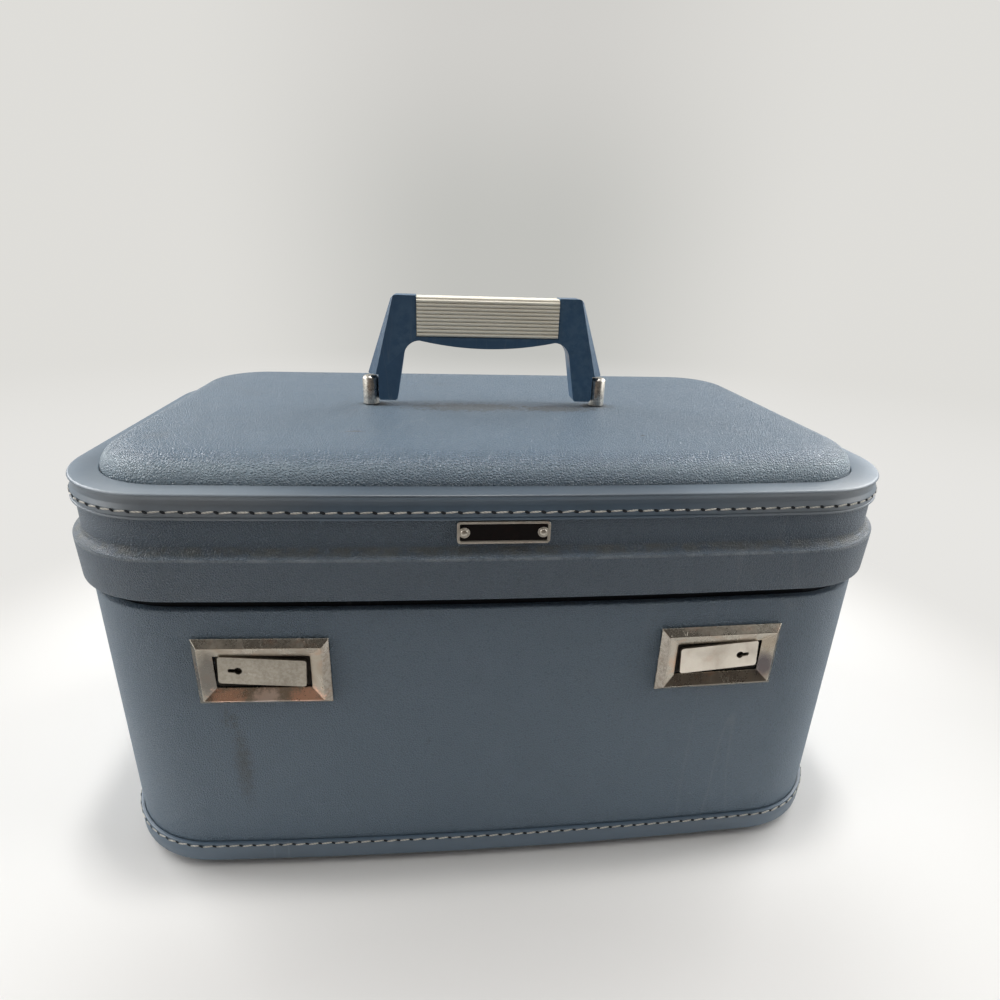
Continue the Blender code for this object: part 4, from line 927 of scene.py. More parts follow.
# Lid binding: stitched flange, hollow side, rounded lip and the flat ring round the dome
lidBinding = {
    "flangeProud": 1.3 * mm,
    "flangeFoot": 1.6 * mm,
    "weltProud": 1.6 * mm,
    "weltHeight": 0.9 * mm,
    "flangeHeight": 3.0 * mm,
    "hollow": 0.3 * mm,
    "lipProud": 1.1 * mm,
    "lipHeight": 10.4 * mm,
    "ringWidth": 10.1 * mm,
    "ringSlope": 0.3 * mm,
    "stitchHeight": 180.6 * mm,
}


def buildLidBinding():
    low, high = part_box("lid_binding")
    b = lidBinding
    inner = lidWall["rebateDepth"] - 0.3 * mm
    flangeTop = low.z + b["flangeFoot"] + b["flangeHeight"]
    lipZ = low.z + b["lipHeight"]
    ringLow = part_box("lid_panel")[0].z + 2.8 * mm + 0.3 * mm
    groove = low.z + b["weltHeight"]
    points = [
        (inner, low.z),
        (-b["weltProud"], low.z),
        (-b["weltProud"], groove),
        (-b["flangeProud"] + 0.45 * mm, groove + 0.1 * mm),
        (-b["flangeProud"], groove + 0.6 * mm),
        (-b["flangeProud"], flangeTop - 0.7 * mm),
        (-b["hollow"], flangeTop + 1.2 * mm),
        (-b["hollow"], lipZ - 2.4 * mm),
        (-b["lipProud"], lipZ - 1.2 * mm),
        (-b["lipProud"], high.z),
        (b["ringWidth"], high.z - b["ringSlope"]),
        (b["ringWidth"], ringLow),
        (inner, ringLow),
    ]
    radii = [0, 0.4 * mm, 0.4 * mm, 0.15 * mm, 0.15 * mm, 0.6 * mm, 1.5 * mm, 2.2 * mm, 0.8 * mm, 0.9 * mm,
             0.5 * mm, 0, 0]
    profile = roundedPath(points, radii, 5)
    replaceNode("lid_binding", caseWall(profile), "binding", "smooth_binding")


# Domed top
dome = {
    "inset": 10.4 * mm,
    "rollWidth": 15 * mm,
    "rollHeight": 11.4 * mm,
    "crown": [(40 * mm, 0), (33 * mm, 0.1 * mm), (28.5 * mm, 0.3 * mm)],  # inset and drop
    "rollDrop": 0.5 * mm,
    "thickness": 4 * mm,
    "flange": 2.8 * mm,
    "rollSteps": 18,
}


def buildDome():
    low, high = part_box("lid_panel")
    d = dome
    edgeZ = high.z - d["rollDrop"]
    startZ = edgeZ - d["rollHeight"]
    profile = [(inset, high.z - drop) for inset, drop in d["crown"]]
    for step in range(d["rollSteps"] + 1):
        angle = quarter * (1 - step / d["rollSteps"])
        inset = d["inset"] + d["rollWidth"] * (1 - math.cos(angle))
        profile.append((inset, startZ + d["rollHeight"] * math.sin(angle)))
    flangeInset = lidWall["rebateDepth"]
    profile += [
        (d["inset"], low.z + d["flange"]),
        (flangeInset, low.z + d["flange"]),
        (flangeInset, low.z),
        (d["inset"] + d["thickness"], low.z),
        (d["inset"] + d["thickness"] + 1.5 * mm, startZ + 4 * mm),
        (d["inset"] + d["rollWidth"], edgeZ - d["thickness"]),
        (d["crown"][0][0], high.z - d["thickness"]),
    ]
    replaceNode("lid_panel", caseWall(profile, closed=False), "dome", "pebbled_vinyl", "domePanel")


# Stitches: threads and the slots they pass through, at an even pitch round the case
stitching = {
    "pitch": 6.4 * mm,
    "length": 4.9 * mm,
    "thickness": 0.8 * mm,
    "rise": 0.7 * mm,
    "slant": 5.0,
    "slotLength": 2.3 * mm,
    "slotHeight": 1.25 * mm,
    "slotDepth": 0.24 * mm,
    "slotSlant": -20.0,
    "bottomPitch": 6.0 * mm,
    "bottomSlant": 8.0,
}


def walkRing(inset, height, pitch):
    # points and directions at an even pitch along one ring of the case
    bm, spot, outward = startOutline()
    moveRing(bm.verts, spot, outward, inset, height)
    vert = max(bm.verts, key=lambda v: v.co.y)
    path = [vert.co.copy()]
    edge = vert.link_edges[0]
    while len(path) <= len(bm.verts):
        vert = edge.other_vert(vert)
        path.append(vert.co.copy())
        edge = [e for e in vert.link_edges if e != edge][0]
    bm.free()
    total = sum((b - a).length for a, b in zip(path, path[1:]))
    count = round(total / pitch)
    even = total / count
    places = []
    travelled = 0.0
    for a, b in zip(path, path[1:]):
        span = (b - a).length
        while len(places) < count and len(places) * even < travelled + span:
            share = (len(places) * even - travelled) / span
            places.append((a.lerp(b, share), (b - a).normalized()))
        travelled += span
    return places


def addCopy(bm, pattern, matrix, scrap):
    copy = pattern.copy()
    bmesh.ops.transform(copy, matrix=matrix, verts=copy.verts)
    copy.to_mesh(scrap)
    copy.free()
    bm.from_mesh(scrap)


def stitchRow(name, body, slotName, inset, height, slant, pitch):
    s = stitching
    rng = random.Random(name)
    thread = bmesh.new()
    lying = Matrix.Rotation(quarter, 4, "Y")
    bmesh.ops.create_uvsphere(thread, u_segments=8, v_segments=6, radius=1, matrix=lying)
    opening = bmesh.new()
    bmesh.ops.create_uvsphere(opening, u_segments=10, v_segments=4, radius=1)
    threads = bmesh.new()
    slots = bmesh.new()
    scrap = bpy.data.meshes.new("stitchScrap")
    slotTurn = Matrix.Rotation(math.radians(s["slotSlant"]), 4, "Z")
    slotSize = Matrix.Diagonal((s["slotLength"] / 2, s["slotHeight"] / 2, s["slotDepth"] / 2, 1))
    up = Vector((0, 0, 1))
    for point, along in walkRing(inset, height, pitch):
        out = along.cross(up).normalized()
        if out.dot(point - Vector((0, caseY, height))) < 0:
            along, out = -along, -out
        turned = Matrix((along, up, out)).transposed().to_4x4()
        lean = Matrix.Rotation(math.radians(slant + rng.uniform(-3, 3)), 4, "Z")
        length = s["length"] * rng.uniform(0.93, 1.04)
        size = Matrix.Diagonal((length / 2, s["thickness"] / 2, s["rise"] / 2, 1))
        spot = Matrix.Translation(point + up * rng.uniform(-0.12, 0.12) * mm)
        addCopy(threads, thread, spot @ turned @ lean @ size, scrap)
        # each slot is a dark oval on the surface: painted shade in the stitch hole
        spot = Matrix.Translation(point + along * (pitch / 2))
        addCopy(slots, opening, spot @ turned @ slotTurn @ slotSize, scrap)
    thread.free()
    opening.free()
    bpy.data.meshes.remove(scrap)
    finishPiece(name + "Threads", threads, "thread", body, slotName, sharp=180)
    finishPiece(name + "Slots", slots, "slot", body, slotName, sharp=180)


# A flat plate with rounded corners, facing outwards in its own XY plane
def roundedPlate(width, height, corner, steps=6):
    bm = bmesh.new()
    bmesh.ops.create_grid(bm, x_segments=1, y_segments=1, size=0.5)
    bmesh.ops.scale(bm, vec=(width, height, 1), verts=bm.verts)
    if corner:
        roundCorners(bm, bm.verts[:], corner, steps)
    return bm


def roundCorners(bm, verts, radius, steps):
    bmesh.ops.bevel(bm, geom=verts, offset=radius, segments=steps, profile=0.5, affect="VERTICES",
                    material=-1)


def addCylinder(bm, radius, depth, steps, centre):
    bmesh.ops.create_cone(bm, cap_ends=True, segments=steps, radius1=radius, radius2=radius, depth=depth,
                          matrix=Matrix.Translation(centre))


def extrudeUp(bm, face, rise):
    # a closed block raised from one face, which stays as the block's back
    made = bmesh.ops.extrude_face_region(bm, geom=[face], use_keep_orig=True)["geom"]
    top = pick(made, bmesh.types.BMFace)[0]
    bmesh.ops.translate(bm, vec=(0, 0, rise), verts=top.verts)
    return top


def insetFace(bm, face, width, depth):
    bmesh.ops.inset_region(bm, faces=[face], thickness=width, depth=depth, use_even_offset=True)


# Latches
latch = {
    "bezelWidth": 54.6 * mm,
    "bezelHeight": 31.4 * mm,
    "edge": 0.6 * mm,
    "outerBevel": 2.85 * mm,
    "innerBevel": 5.2 * mm,
    "ridge": 3.4 * mm,
    "innerLip": 1.2 * mm,
    "standOff": 0.3 * mm,
    "plateWidth": 35.3 * mm,
    "plateHeight": 12.8 * mm,
    "plateCorner": 1.2 * mm,
    "plateThickness": 1.4 * mm,
    "plateBack": 1.1 * mm,
    "plateRise": 0.75 * mm,
    "tilt": 3.8,
    "keyholeFromEnd": 8.0 * mm,
    "keyholeRadius": 1.6 * mm,
    "slotWidth": 1.6 * mm,
    "slotLength": 2.4 * mm,
    "slotRound": 0.5 * mm,
    "spindleRadius": 2.3 * mm,
    "spindleLength": 9 * mm,
}
sides = ("left", "right")


def latchPlace(side):
    joint = joints[side + "_latch_turn"]
    outward = Vector(joint["axis"])
    if outward.y > 0:
        outward = -outward
    up = Vector((0, 0, 1))
    across = up.cross(outward)
    turned = Matrix((across, up, outward)).transposed().to_4x4()
    return Matrix.Translation(joint["pos_m"]) @ turned


def buildBezel(side):
    c = latch
    bm = roundedPlate(c["bezelWidth"], c["bezelHeight"], 0)
    bottom = bm.faces[:][0]
    top = extrudeUp(bm, bottom, c["edge"])
    insetFace(bm, top, c["outerBevel"], c["ridge"] - c["edge"])
    insetFace(bm, top, c["innerBevel"], c["innerLip"] - c["ridge"])
    inner = extrudeUp(bm, top, -c["innerLip"])
    rims = list(bottom.edges) + list(inner.edges)
    bmesh.ops.delete(bm, geom=[face for face in (bottom, top, inner) if face.is_valid], context="FACES_ONLY")
    bmesh.ops.bridge_loops(bm, edges=rims)
    matrix = latchPlace(side) @ Matrix.Translation((0, 0, c["standOff"]))
    bmesh.ops.transform(bm, matrix=matrix, verts=bm.verts)
    replaceNode("latch_bezel_" + side, bm, "frame", "aged_nickel", edge=0.28 * mm, segments=3, sharp=12)


def makeKeyholeCutters(sign):
    c = latch
    centre = sign * (c["plateWidth"] / 2 - c["keyholeFromEnd"])
    depth = c["plateThickness"] * 4
    hole = bmesh.new()
    addCylinder(hole, c["keyholeRadius"], depth, 32, (centre, 0, 0))
    slot = bmesh.new()
    reach = c["keyholeRadius"] + c["slotLength"]
    size = Matrix.Diagonal((reach, c["slotWidth"], depth, 1))
    bmesh.ops.create_cube(slot, size=1, matrix=Matrix.Translation((centre + sign * reach / 2, 0, 0)) @ size)
    upright = [edge for edge in slot.edges if abs(edge.verts[0].co.z - edge.verts[1].co.z) > depth / 2]
    bmesh.ops.bevel(slot, geom=upright, offset=c["slotRound"], segments=4, profile=0.5, affect="EDGES",
                    material=-1)
    return [placeObject("keyholeCutter", meshFrom(bm, "keyholeCutter")) for bm in (hole, slot)]


def cutWith(bm, cutters):
    # the solid in bm less each cutter, as a new bmesh
    solid = placeObject("beforeCut", meshFrom(bm, "beforeCut"))
    for cutter in cutters:
        modifier = solid.modifiers.new("cut", "BOOLEAN")
        modifier.operation = "DIFFERENCE"
        modifier.object = cutter
    made = bpy.data.meshes.new_from_object(solid.evaluated_get(bpy.context.evaluated_depsgraph_get()))
    result = bmesh.new()
    result.from_mesh(made)
    for thing in [solid, *cutters]:
        bpy.data.objects.remove(thing)
    return result


def buildThumbPlate(side, sign):
    c = latch
    bm = roundedPlate(c["plateWidth"], c["plateHeight"], c["plateCorner"])
    extrudeUp(bm, bm.faces[:][0], c["plateThickness"])
    bmesh.ops.recalc_face_normals(bm, faces=bm.faces)
    bm = cutWith(bm, makeKeyholeCutters(sign))
    bmesh.ops.translate(bm, vec=(0, c["plateRise"], 0), verts=bm.verts)
    addCylinder(bm, c["spindleRadius"], c["spindleLength"], 24, (0, 0, -0.1 * mm - c["spindleLength"] / 2))
    lean = Matrix.Rotation(math.radians(sign * c["tilt"]), 4, "Z")
    matrix = latchPlace(side) @ lean @ Matrix.Translation((0, 0, c["plateBack"]))
    bmesh.ops.transform(bm, matrix=matrix, verts=bm.verts)
    replaceNode("thumb_plate_" + side, bm, "plate", "aged_nickel", edge=0.22 * mm, sharp=30)


# Nameplate: bright frame round a bare field
nameplate = {
    "width": 36.4 * mm,
    "height": 9.3 * mm,
    "corner": 1.5 * mm,
    "thickness": 1.4 * mm,
    "frame": 0.95 * mm,
    "recess": 0.5 * mm,
    "rivetRadius": 1.5 * mm,
    "rivetRise": 0.55 * mm,
    "rivetShank": 0.9 * mm,
    "rivetDome": [(0.45, 0.03), (0.75, 0.12), (0.92, 0.3), (1.0, 0.55)],  # share of radius, drop in mm
    "bossRadius": 2.2 * mm,
}


def buildNameplate():
    low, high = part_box("nameplate")
    n = nameplate
    bm = roundedPlate(n["width"], n["height"], n["corner"], 5)
    top = extrudeUp(bm, bm.faces[:][0], n["thickness"])
    insetFace(bm, top, n["frame"], 0)
    insetFace(bm, top, 0.15 * mm, -n["recess"])
    top.material_index = 1
    bossHeight = n["thickness"] - 0.1 * mm
    for side in sides:
        rivetLow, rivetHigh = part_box("nameplate_rivet_" + side)
        addCylinder(bm, n["bossRadius"], bossHeight, 32, ((rivetLow.x + rivetHigh.x) / 2, 0, bossHeight / 2))
    facing = Matrix.Rotation(quarter, 4, "X")
    centre = Vector((0, high.y, (low.z + high.z) / 2))
    bmesh.ops.transform(bm, matrix=Matrix.Translation(centre) @ facing, verts=bm.verts)
    replaceNode("nameplate", bm, ["rivet", "enamel"], "nameplate_metal", edge=0.16 * mm, sharp=30)


def buildNameplateRivets():
    n = nameplate
    face = -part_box("nameplate")[0].y - 0.1 * mm
    for side in sides:
        low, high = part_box("nameplate_rivet_" + side)
        centre = (low + high) / 2
        outline = [(0, face + n["rivetRise"])]
        for share, drop in n["rivetDome"]:
            outline.append((n["rivetRadius"] * share, face + n["rivetRise"] - drop * mm))
        foot = face - 0.3 * mm
        shank = n["rivetShank"]
        outline += [(n["rivetRadius"], foot), (shank, foot), (shank, -high.y), (0, -high.y)]
        matrix = Matrix.Translation((centre.x, 0, centre.z)) @ Matrix.Rotation(quarter, 4, "X")
        rivet = turnedPiece(outline, 32, matrix)
        replaceNode("nameplate_rivet_" + side, rivet, "rivet", "aged_nickel", sharp=40)


def startChain(points):
    bm = bmesh.new()
    chain = [bm.verts.new(point) for point in points]
    for first, second in zip(chain, chain[1:]):
        bm.edges.new((first, second))
    return bm


def spinChain(bm, steps):
    bmesh.ops.spin(bm, geom=bm.verts[:] + bm.edges[:], cent=(0, 0, 0), axis=(0, 0, 1), angle=4 * quarter,
                   steps=steps, use_merge=True)


# A turned piece: an outline of (radius, height) points spun round its axis
def turnedPiece(outline, steps, matrix):
    bm = startChain([(radius, 0, height) for radius, height in outline])
    spinChain(bm, steps)
    bmesh.ops.remove_doubles(bm, verts=bm.verts, dist=0.005 * mm)
    bmesh.ops.transform(bm, matrix=matrix, verts=bm.verts)
    return bm


post = {"radius": 4 * mm, "chamfer": 1.1 * mm, "round": 0.35 * mm, "shank": 2.5 * mm, "lift": 0.3 * mm}


def buildPosts():
    radius = post["radius"]
    foot = domeZ + post["lift"]
    for side in sides:
        low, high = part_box("handle_post_" + side)
        centre = (low + high) / 2
        outline = [
            (0, high.z),
            (radius - post["chamfer"] - post["round"], high.z),
            (radius - post["chamfer"], high.z - 0.12 * mm),
            (radius - 0.15 * mm, high.z - post["chamfer"]),
            (radius, high.z - post["chamfer"] - post["round"]),
            (radius, foot + 0.2 * mm),
            (radius - 0.2 * mm, foot),
            (post["shank"], foot),
            (post["shank"], low.z),
            (0, low.z),
        ]
        matrix = Matrix.Translation((centre.x, centre.y, 0))
        turned = turnedPiece(outline, 48, matrix)
        replaceNode("handle_post_" + side, turned, "post", "aged_nickel", sharp=28)


# Handle: moulded frame and ribbed grip
handle = {
    "thickness": 11 * mm,
    "topCorner": 2.2 * mm,
    "innerCorner": 6.5 * mm,
    "chamferTop": 0.5 * mm,
    "chamferFoot": 2.8 * mm,
    "edgeRound": 1.1 * mm,
    "belly": 3.6 * mm,
    "bellySteps": 23,
    "footCorner": 1.2 * mm,
    "skirtCorner": 0.8 * mm,
    "footInner": 45.2 * mm,
    "legInner": 40.2 * mm,
    "shoulder": 46.7 * mm,
    "footOuter": 54.3 * mm,
    "skirtHeight": 8.2 * mm,
}
grip = {
    "length": 70.4 * mm,
    "height": 18.7 * mm,
    "halfThickness": 6.2 * mm,
    "endGap": 0.3 * mm,
    "topDrop": 0.4 * mm,
    "ribs": 10,
    "ribDepth": 0.75 * mm,
    "ribPoints": 7,
}
pivot = Vector(joints["handle_swing"]["pos_m"])


def cutCorner(bm, point, normal):
    cut = bmesh.ops.bisect_plane(bm, geom=bm.verts[:] + bm.edges[:] + bm.faces[:], plane_co=point,
                                 plane_no=normal, clear_outer=True)["geom_cut"]
    bmesh.ops.contextual_create(bm, geom=pick(cut, bmesh.types.BMEdge))


def buildHandleFrame():
    h = handle
    low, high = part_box("handle_frame")
    slotX = grip["length"] / 2
    slotZ = high.z - grip["topDrop"] - grip["height"] - grip["endGap"]
    skirtZ = pivot.z + h["skirtHeight"]
    bellyZ = slotZ - h["belly"] / 2
    half = [
        (slotX, slotZ),
        (slotX, high.z),
        (h["shoulder"], high.z),
        (high.x, skirtZ),
        (h["footOuter"], skirtZ),
        (h["footOuter"], low.z),
        (h["footInner"], low.z),
        (h["legInner"], bellyZ),
    ]
    outline = half + [(-x, z) for x, z in reversed(half)]
    bm = bmesh.new()
    verts = [bm.verts.new((x, z, 0)) for x, z in outline]
    bm.faces.new(verts)
    rounds = [(2, h["topCorner"]), (7, h["innerCorner"]), (5, h["footCorner"]), (6, h["footCorner"]),
              (3, h["skirtCorner"])]
    for index, radius in rounds:
        for vert in (verts[index], verts[15 - index]):  # a corner and its mirror image
            roundCorners(bm, [vert], radius, 8)
    under = [e for e in bm.edges if all(abs(v.co.y - bellyZ) < 0.01 * mm for v in e.verts)]
    cut = bmesh.ops.subdivide_edges(bm, edges=under, cuts=h["bellySteps"])["geom_inner"]
    reach = max(abs(v.co.x) for e in under for v in e.verts)
    for vert in pick(cut, bmesh.types.BMVert):
        vert.co.y -= h["belly"] * (1 - (vert.co.x / reach) ** 2)
    extrudeUp(bm, bm.faces[:][0], h["thickness"])
    bmesh.ops.translate(bm, vec=(0, 0, -h["thickness"] / 2), verts=bm.verts)
    for sign in (-1, 1):
        for face in (-1, 1):
            top = Vector((sign * h["shoulder"], high.z, face * h["thickness"] / 2))
            foot = Vector((sign * high.x, skirtZ, face * h["thickness"] / 2))
            down = (foot - top).normalized()
            outward = Vector((-down.y, down.x, 0)) * sign
            normal = (outward + Vector((0, 0, face))).normalized()
            start = top - normal * h["chamferTop"]
            along = (foot - normal * h["chamferFoot"] - start).normalized()
            cutCorner(bm, start, normal - along * normal.dot(along))
    upright = Matrix.Translation((0, pivot.y, 0)) @ Matrix.Rotation(quarter, 4, "X")
    bmesh.ops.transform(bm, matrix=upright, verts=bm.verts)
    replaceNode("handle_frame", bm, "moulding", "handle_moulding", edge=h["edgeRound"], segments=3, sharp=24)


def buildGrip():
    g = grip
    low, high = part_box("grip_sleeve")
    rib = (high.z - low.z - 1.2 * mm) / g["ribs"]  # the ribs stop short of the rounded top
    front = []
    for index in range(g["ribs"]):
        for step in range(g["ribPoints"]):
            share = step / (g["ribPoints"] - 1)
            swell = math.sin(math.pi * share) ** 0.45
            if step == g["ribPoints"] - 1 and index < g["ribs"] - 1:
                continue  # the next rib starts there
            depth = g["halfThickness"] - g["ribDepth"] * (1 - swell)
            front.append((depth, low.z + rib * (index + share), 1 - swell))
    front.append((g["halfThickness"] - 0.9 * mm, high.z - 0.4 * mm, 0))
    front.append((g["halfThickness"] - 2.0 * mm, high.z, 0))
    outline = front + [(-y, z, groove) for y, z, groove in reversed(front)]
    bm = bmesh.new()
    groove = bm.verts.layers.float.new("grooveMask")
    verts = []
    for y, z, mask in outline:
        vert = bm.verts.new((-g["length"] / 2 + g["endGap"], y, z))
        vert[groove] = mask
        verts.append(vert)
    face = bm.faces.new(verts)
    made = bmesh.ops.extrude_face_region(bm, geom=[face], use_keep_orig=True)["geom"]
    moved = pick(made, bmesh.types.BMVert)
    bmesh.ops.translate(bm, vec=(g["length"] - 2 * g["endGap"], 0, 0), verts=moved)
    bmesh.ops.translate(bm, vec=(0, pivot.y, 0), verts=bm.verts)
    replaceNode("grip_sleeve", bm, "ivory", "grip_ivory", sharp=50)


# Nodes that stay or are only smoothed
def dressNodes():
    smoothed = [  # stem, look, slot and rounded edge in mm
        ("hinge_body_leaf", "rivet", "aged_nickel", 0.2),
        ("hinge_lid_leaf", "rivet", "aged_nickel", 0.2),
        ("hinge_pin", "steel", "inner_steel", 0.0),
        ("latch_cover", "rivet", "aged_nickel", 0.15),
        ("strike", "rivet", "aged_nickel", 0.15),
        ("post_nut", "steel", "inner_steel", 0.3),
        ("foot_front", "rivet", "aged_nickel", 0.0),
        ("foot_rear", "rivet", "aged_nickel", 0.0),
    ]
    for stem, look, slotName, edge in smoothed:
        for side in sides:
            smoothCopy(stem + "_" + side, look, slotName, edge * mm, 40)
    for part in ("body", "lid"):
        for side in sides:
            for place in ("inner", "outer"):
                smoothCopy(f"hinge_rivet_{part}_{side}_{place}", "rivet", "aged_nickel")
    smoothCopy("mirror_frame", "rivet", "aged_nickel", 0.3 * mm)
    smoothCopy("lid_mirror", "mirror", "mirror_glass", 0.4 * mm)
    smoothCopy("body_lining", "lining", "lining_cloth", sharp=30)
    smoothCopy("lid_lining", "lining", "lining_cloth", sharp=30)
    smoothCopy("bottom_panel", "board", "bottom_board", 0.4 * mm)
    for name, node in nodes.items():
        if node.hide_render:
            continue
        look = "grimy" if name.startswith("latch_base") else "steel"
        node.data.materials.clear()
        node.data.materials.append(finish[look])


# Floor and backdrop
studio = {
    "floor": (0.86, 0.855, 0.84),
    "floorMottle": (0.85, 0.845, 0.83),
    # painted shadow: the paper is darker just in front of the case
    "frontFloor": (0.68, 0.672, 0.66),
    "floorShadowX": (0.24, 0.08),
    "floorShadowY": (-0.08, -0.17),
    "backMiddle": (0.535, 0.535, 0.51),
    "backTop": (0.63, 0.62, 0.595),
    "backSide": (0.735, 0.725, 0.695),
    "farFloor": (0.80, 0.79, 0.765),
    "radius": 2.6,
    "wall": 3.0,
    "sweep": 1.0,
    "blend": (0.20, 0.44),
    "world": 0.26,
    "lampTarget": (0, 0, 0.1),
    "lamps": {  # place, size, watts and colour
        "topSoftbox": ((0, -0.28, 1.5), (2.4, 0.5), 2.4, (1.0, 0.985, 0.96)),
        "overheadLamp": ((0.03, -0.02, 1.6), (0.16, 0.16), 9.0, (1.0, 0.99, 0.97)),
        "rearLeftSoftbox": ((-1.25, 0.6, 0.9), (0.9, 0.7), 15.0, (1.0, 1.0, 1.0)),
        "rearRightSoftbox": ((1.25, 0.6, 0.9), (0.9, 0.7), 15.0, (1.0, 1.0, 1.0)),
        "frontLeftFill": ((-1.35, -0.22, 0.7), (0.9, 0.7), 5.6, (1.0, 1.0, 1.0)),
        "frontRightFill": ((1.35, -0.22, 0.7), (0.9, 0.7), 7.0, (1.0, 1.0, 1.0)),
    },
}


def startLight(name):
    material = bpy.data.materials.new(name)
    material.use_nodes = True
    tree = material.node_tree
    tree.nodes.remove(tree.nodes["Principled BSDF"])
    position = tree.nodes.new("ShaderNodeTexCoord").outputs["Object"]
    return material, tree, position, tree.nodes["Material Output"].inputs["Surface"]


def mixShaders(tree, share, first, second):
    node = tree.nodes.new("ShaderNodeMixShader")
    for socket, value in zip(node.inputs, (share, first, second)):
        feed(tree, socket, value)
    return node.outputs[0]


def makeStudioMaterial():
    s = studio
    material, tree, position, surface = startLight("studioPaper")
    parts = splitXYZ(tree, position)
    acrossX = calc(tree, "ABSOLUTE", parts["X"])
    reach = vectorMaths(tree, "LENGTH", vectorMaths(tree, "MULTIPLY", position, (1, 1, 0)))
    mottled = blendColour(tree, noise(tree, position, 3.0, 3.0), s["floor"], s["floorMottle"])
    # painted shadow: the paper is darker just in front of the case
    floorShadowMask = remap(tree, parts["Y"], *s["floorShadowY"])
    floorShadowMask = product(tree, floorShadowMask, remap(tree, acrossX, *s["floorShadowX"]))
    paper = tree.nodes.new("ShaderNodeBsdfDiffuse")
    feed(tree, paper.inputs["Color"], blendColour(tree, floorShadowMask, mottled, s["frontFloor"]))
    middle = calc(tree, "SUBTRACT", parts["X"], product(tree, parts["Y"], 0.11))
    aside = calc(tree, "DIVIDE", calc(tree, "ABSOLUTE", middle), calc(tree, "MAXIMUM", reach, 0.1))
    ahead = calc(tree, "SUBTRACT", 1.0, remap(tree, parts["Y"], -0.6, 0.3))
    spread = remap(tree, calc(tree, "ADD", aside, ahead), 0.06, 0.5)
    upper = blendColour(tree, remap(tree, parts["Z"], 0.3, 1.1), s["backMiddle"], s["backTop"])
    wall = blendColour(tree, spread, upper, s["backSide"])
    rise = remap(tree, calc(tree, "ADD", reach, parts["Z"]), 0.6, 1.6)
    glow = tree.nodes.new("ShaderNodeEmission")
    feed(tree, glow.inputs["Color"], blendColour(tree, rise, s["farFloor"], wall))
    path = tree.nodes.new("ShaderNodeLightPath")
    seen = calc(tree, "MAXIMUM", path.outputs["Is Camera Ray"], path.outputs["Is Glossy Ray"])
    seen = calc(tree, "MAXIMUM", seen, path.outputs["Is Transmission Ray"])
    clear = tree.nodes.new("ShaderNodeBsdfTransparent").outputs[0]
    high = remap(tree, parts["Z"], 0.0, 0.02)  # the far wall lets the world's light in
    unseen = mixShaders(tree, high, paper.outputs[0], clear)
    far = mixShaders(tree, seen, unseen, glow.outputs[0])
    both = mixShaders(tree, remap(tree, reach, *s["blend"]), paper.outputs[0], far)
    back = tree.nodes.new("ShaderNodeNewGeometry").outputs["Backfacing"]
    feed(tree, surface, mixShaders(tree, back, both, clear))  # from below the paper is clear
    return material


def buildStudio():
    flat = studio["radius"] - studio["sweep"]
    bm = startChain([(0, 0, 0), (flat, 0, 0)])
    edge = max(bm.verts, key=lambda v: v.co.x)
    bmesh.ops.spin(bm, geom=[edge], cent=(flat, 0, studio["sweep"]), axis=(0, -1, 0), angle=quarter,
                   steps=16)
    top = max(bm.verts, key=lambda v: v.co.z)
    wall = bmesh.ops.extrude_vert_indiv(bm, verts=[top])["verts"][0]
    wall.co.z = studio["wall"]
    spinChain(bm, 64)
    bmesh.ops.remove_doubles(bm, verts=bm.verts, dist=0.1 * mm)
    mesh = meshFrom(bm, "studioSweep")
    mesh.shade_smooth()
    if sum(face.normal.z for face in mesh.polygons) < 0:
        mesh.flip_normals()
    mesh.materials.append(makeStudioMaterial())
    placeObject("studioSweep", mesh)


def addLamp(name, place, target, size, watts, colour):
    lamp = bpy.data.lights.new(name, "AREA")
    lamp.shape = "RECTANGLE"
    lamp.size, lamp.size_y = size
    lamp.energy = watts
    lamp.color = colour
    holder = placeObject(name, lamp)
    holder.location = place
    holder.visible_camera = False
    holder.rotation_mode = "QUATERNION"
    holder.rotation_quaternion = (Vector(target) - Vector(place)).to_track_quat("-Z", "Y")


# A dark card behind the camera, hidden from it, keeps the front in shade and darkens the metal
shadeCard = {
    "radius": 0.85,
    "halfAngle": 50,
    "footRadius": 0.40,
    "footHeight": 4 * mm,
    "height": 1.3,
    "sideX": (0.25, -0.25),
    "upperZ": (0.45, 0.65),
    "warm": (0.190, 0.150, 0.122),
    "dark": (0.078, 0.066, 0.058),
    "high": (0.058, 0.050, 0.043),
}


def makeCardMaterial():
    c = shadeCard
    material, tree, position, surface = startLight("shadeCard")
    parts = splitXYZ(tree, position)
    colour = blendColour(tree, remap(tree, parts["X"], *c["sideX"]), c["dark"], c["warm"])
    colour = blendColour(tree, remap(tree, parts["Z"], *c["upperZ"]), colour, c["high"])
    glow = tree.nodes.new("ShaderNodeEmission")
    feed(tree, glow.inputs["Color"], colour)
    feed(tree, surface, glow.outputs[0])
    return material


def buildShadeCard():
    c = shadeCard
    half = math.radians(c["halfAngle"])
    points = []
    for radius, height in ((c["footRadius"], c["footHeight"]), (c["radius"], c["footHeight"]),
                           (c["radius"], c["height"])):
        points.append((-math.sin(half) * radius, -math.cos(half) * radius, height))
    bm = startChain(points)
    bmesh.ops.spin(bm, geom=bm.verts[:] + bm.edges[:], cent=(0, 0, 0), axis=(0, 0, 1), angle=2 * half,
                   steps=24)
    mesh = meshFrom(bm, "shadeCard")
    mesh.materials.append(makeCardMaterial())
    card = placeObject("shadeCard", mesh)
    card.visible_camera = False
    card.visible_shadow = False


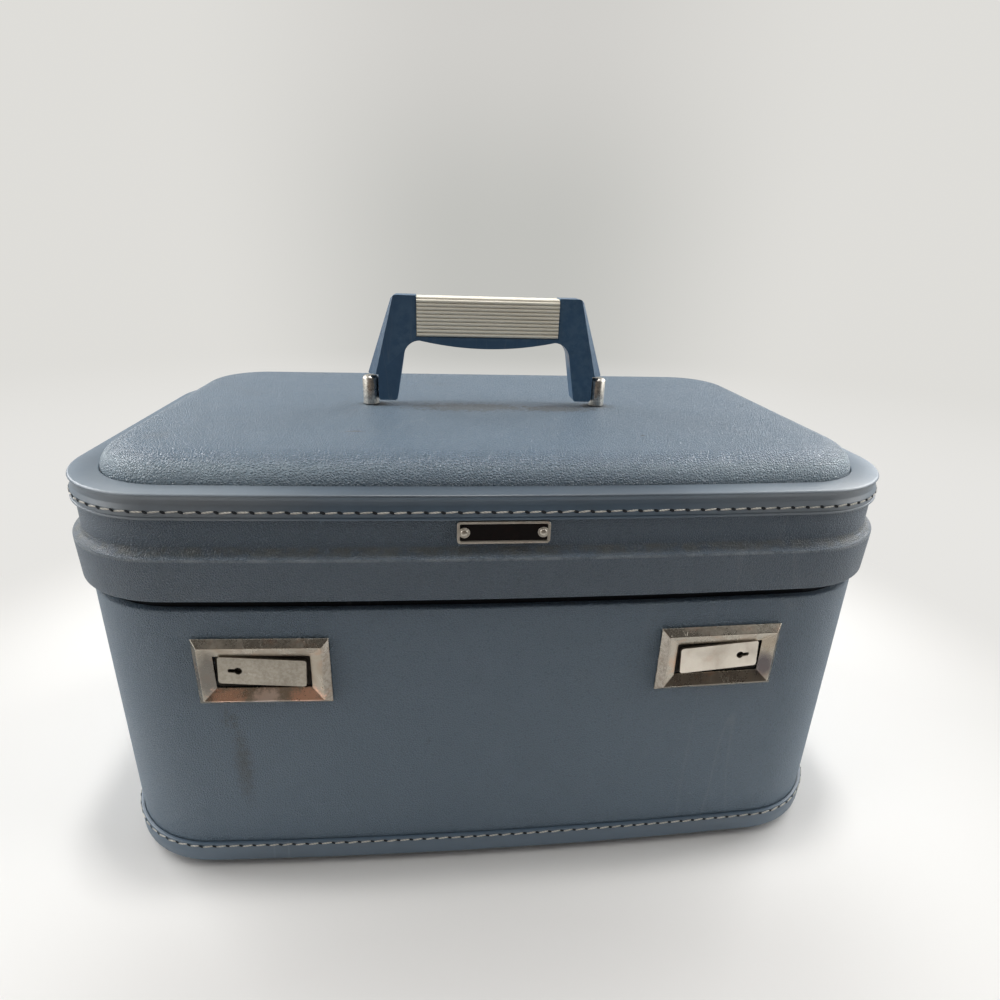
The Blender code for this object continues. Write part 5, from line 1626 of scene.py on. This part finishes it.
def lightStudio():
    world = bpy.data.worlds.new("softStudio")
    bpy.context.scene.world = world
    world.use_nodes = True
    shade = world.node_tree.nodes["Background"]
    shade.inputs["Color"].default_value = (1.0, 0.99, 0.97, 1)
    shade.inputs["Strength"].default_value = studio["world"]
    for name, (place, size, watts, colour) in studio["lamps"].items():
        addLamp(name, place, studio["lampTarget"], size, watts, colour)


camera = {
    "place": (-26.2 * mm, -331.7 * mm, 273.4 * mm),
    "yaw": 0.1088,
    "pitch": 0.3756,
    "roll": -0.0336,
    "lens": 22.74,
}


def placeCamera():
    yaw, pitch, roll = camera["yaw"], camera["pitch"], camera["roll"]
    ahead = Vector((math.sin(yaw) * math.cos(pitch), math.cos(yaw) * math.cos(pitch), -math.sin(pitch)))
    across = Vector((math.cos(yaw), -math.sin(yaw), 0))
    down = ahead.cross(across)
    rolledAcross = across * math.cos(roll) + down * math.sin(roll)
    rolledDown = down * math.cos(roll) - across * math.sin(roll)
    turned = Matrix((rolledAcross, -rolledDown, -ahead)).transposed().to_4x4()
    data = bpy.data.cameras.new("photoCamera")
    data.lens = camera["lens"]
    data.sensor_width = 36.0
    data.clip_start = 0.01
    holder = placeObject("photoCamera", data)
    holder.matrix_world = Matrix.Translation(camera["place"]) @ turned
    bpy.context.scene.camera = holder


buildBodyWall()
buildBottomBinding()
buildLidWall()
buildLidBinding()
buildDome()
print("walls, bindings and dome built")
stitchRow("lidStitch", "lid", "smooth_binding", -lidBinding["flangeProud"] - 0.1 * mm,
          lidBinding["stitchHeight"], stitching["slant"], stitching["pitch"])
stitchRow("bottomStitch", "case_body", "smooth_binding", -bottomBinding["proud"] - 0.05 * mm,
          bottomBinding["stitchHeight"], stitching["bottomSlant"], stitching["bottomPitch"])
print("stitched")
for side, sign in zip(sides, (-1, 1)):
    buildBezel(side)
    buildThumbPlate(side, sign)
buildNameplate()
buildNameplateRivets()
buildPosts()
buildHandleFrame()
buildGrip()
dressNodes()
print("metalwork and handle built")
buildStudio()
buildShadeCard()
lightStudio()
placeCamera()
bpy.context.scene.view_settings.view_transform = "Standard"
print("scene ready")
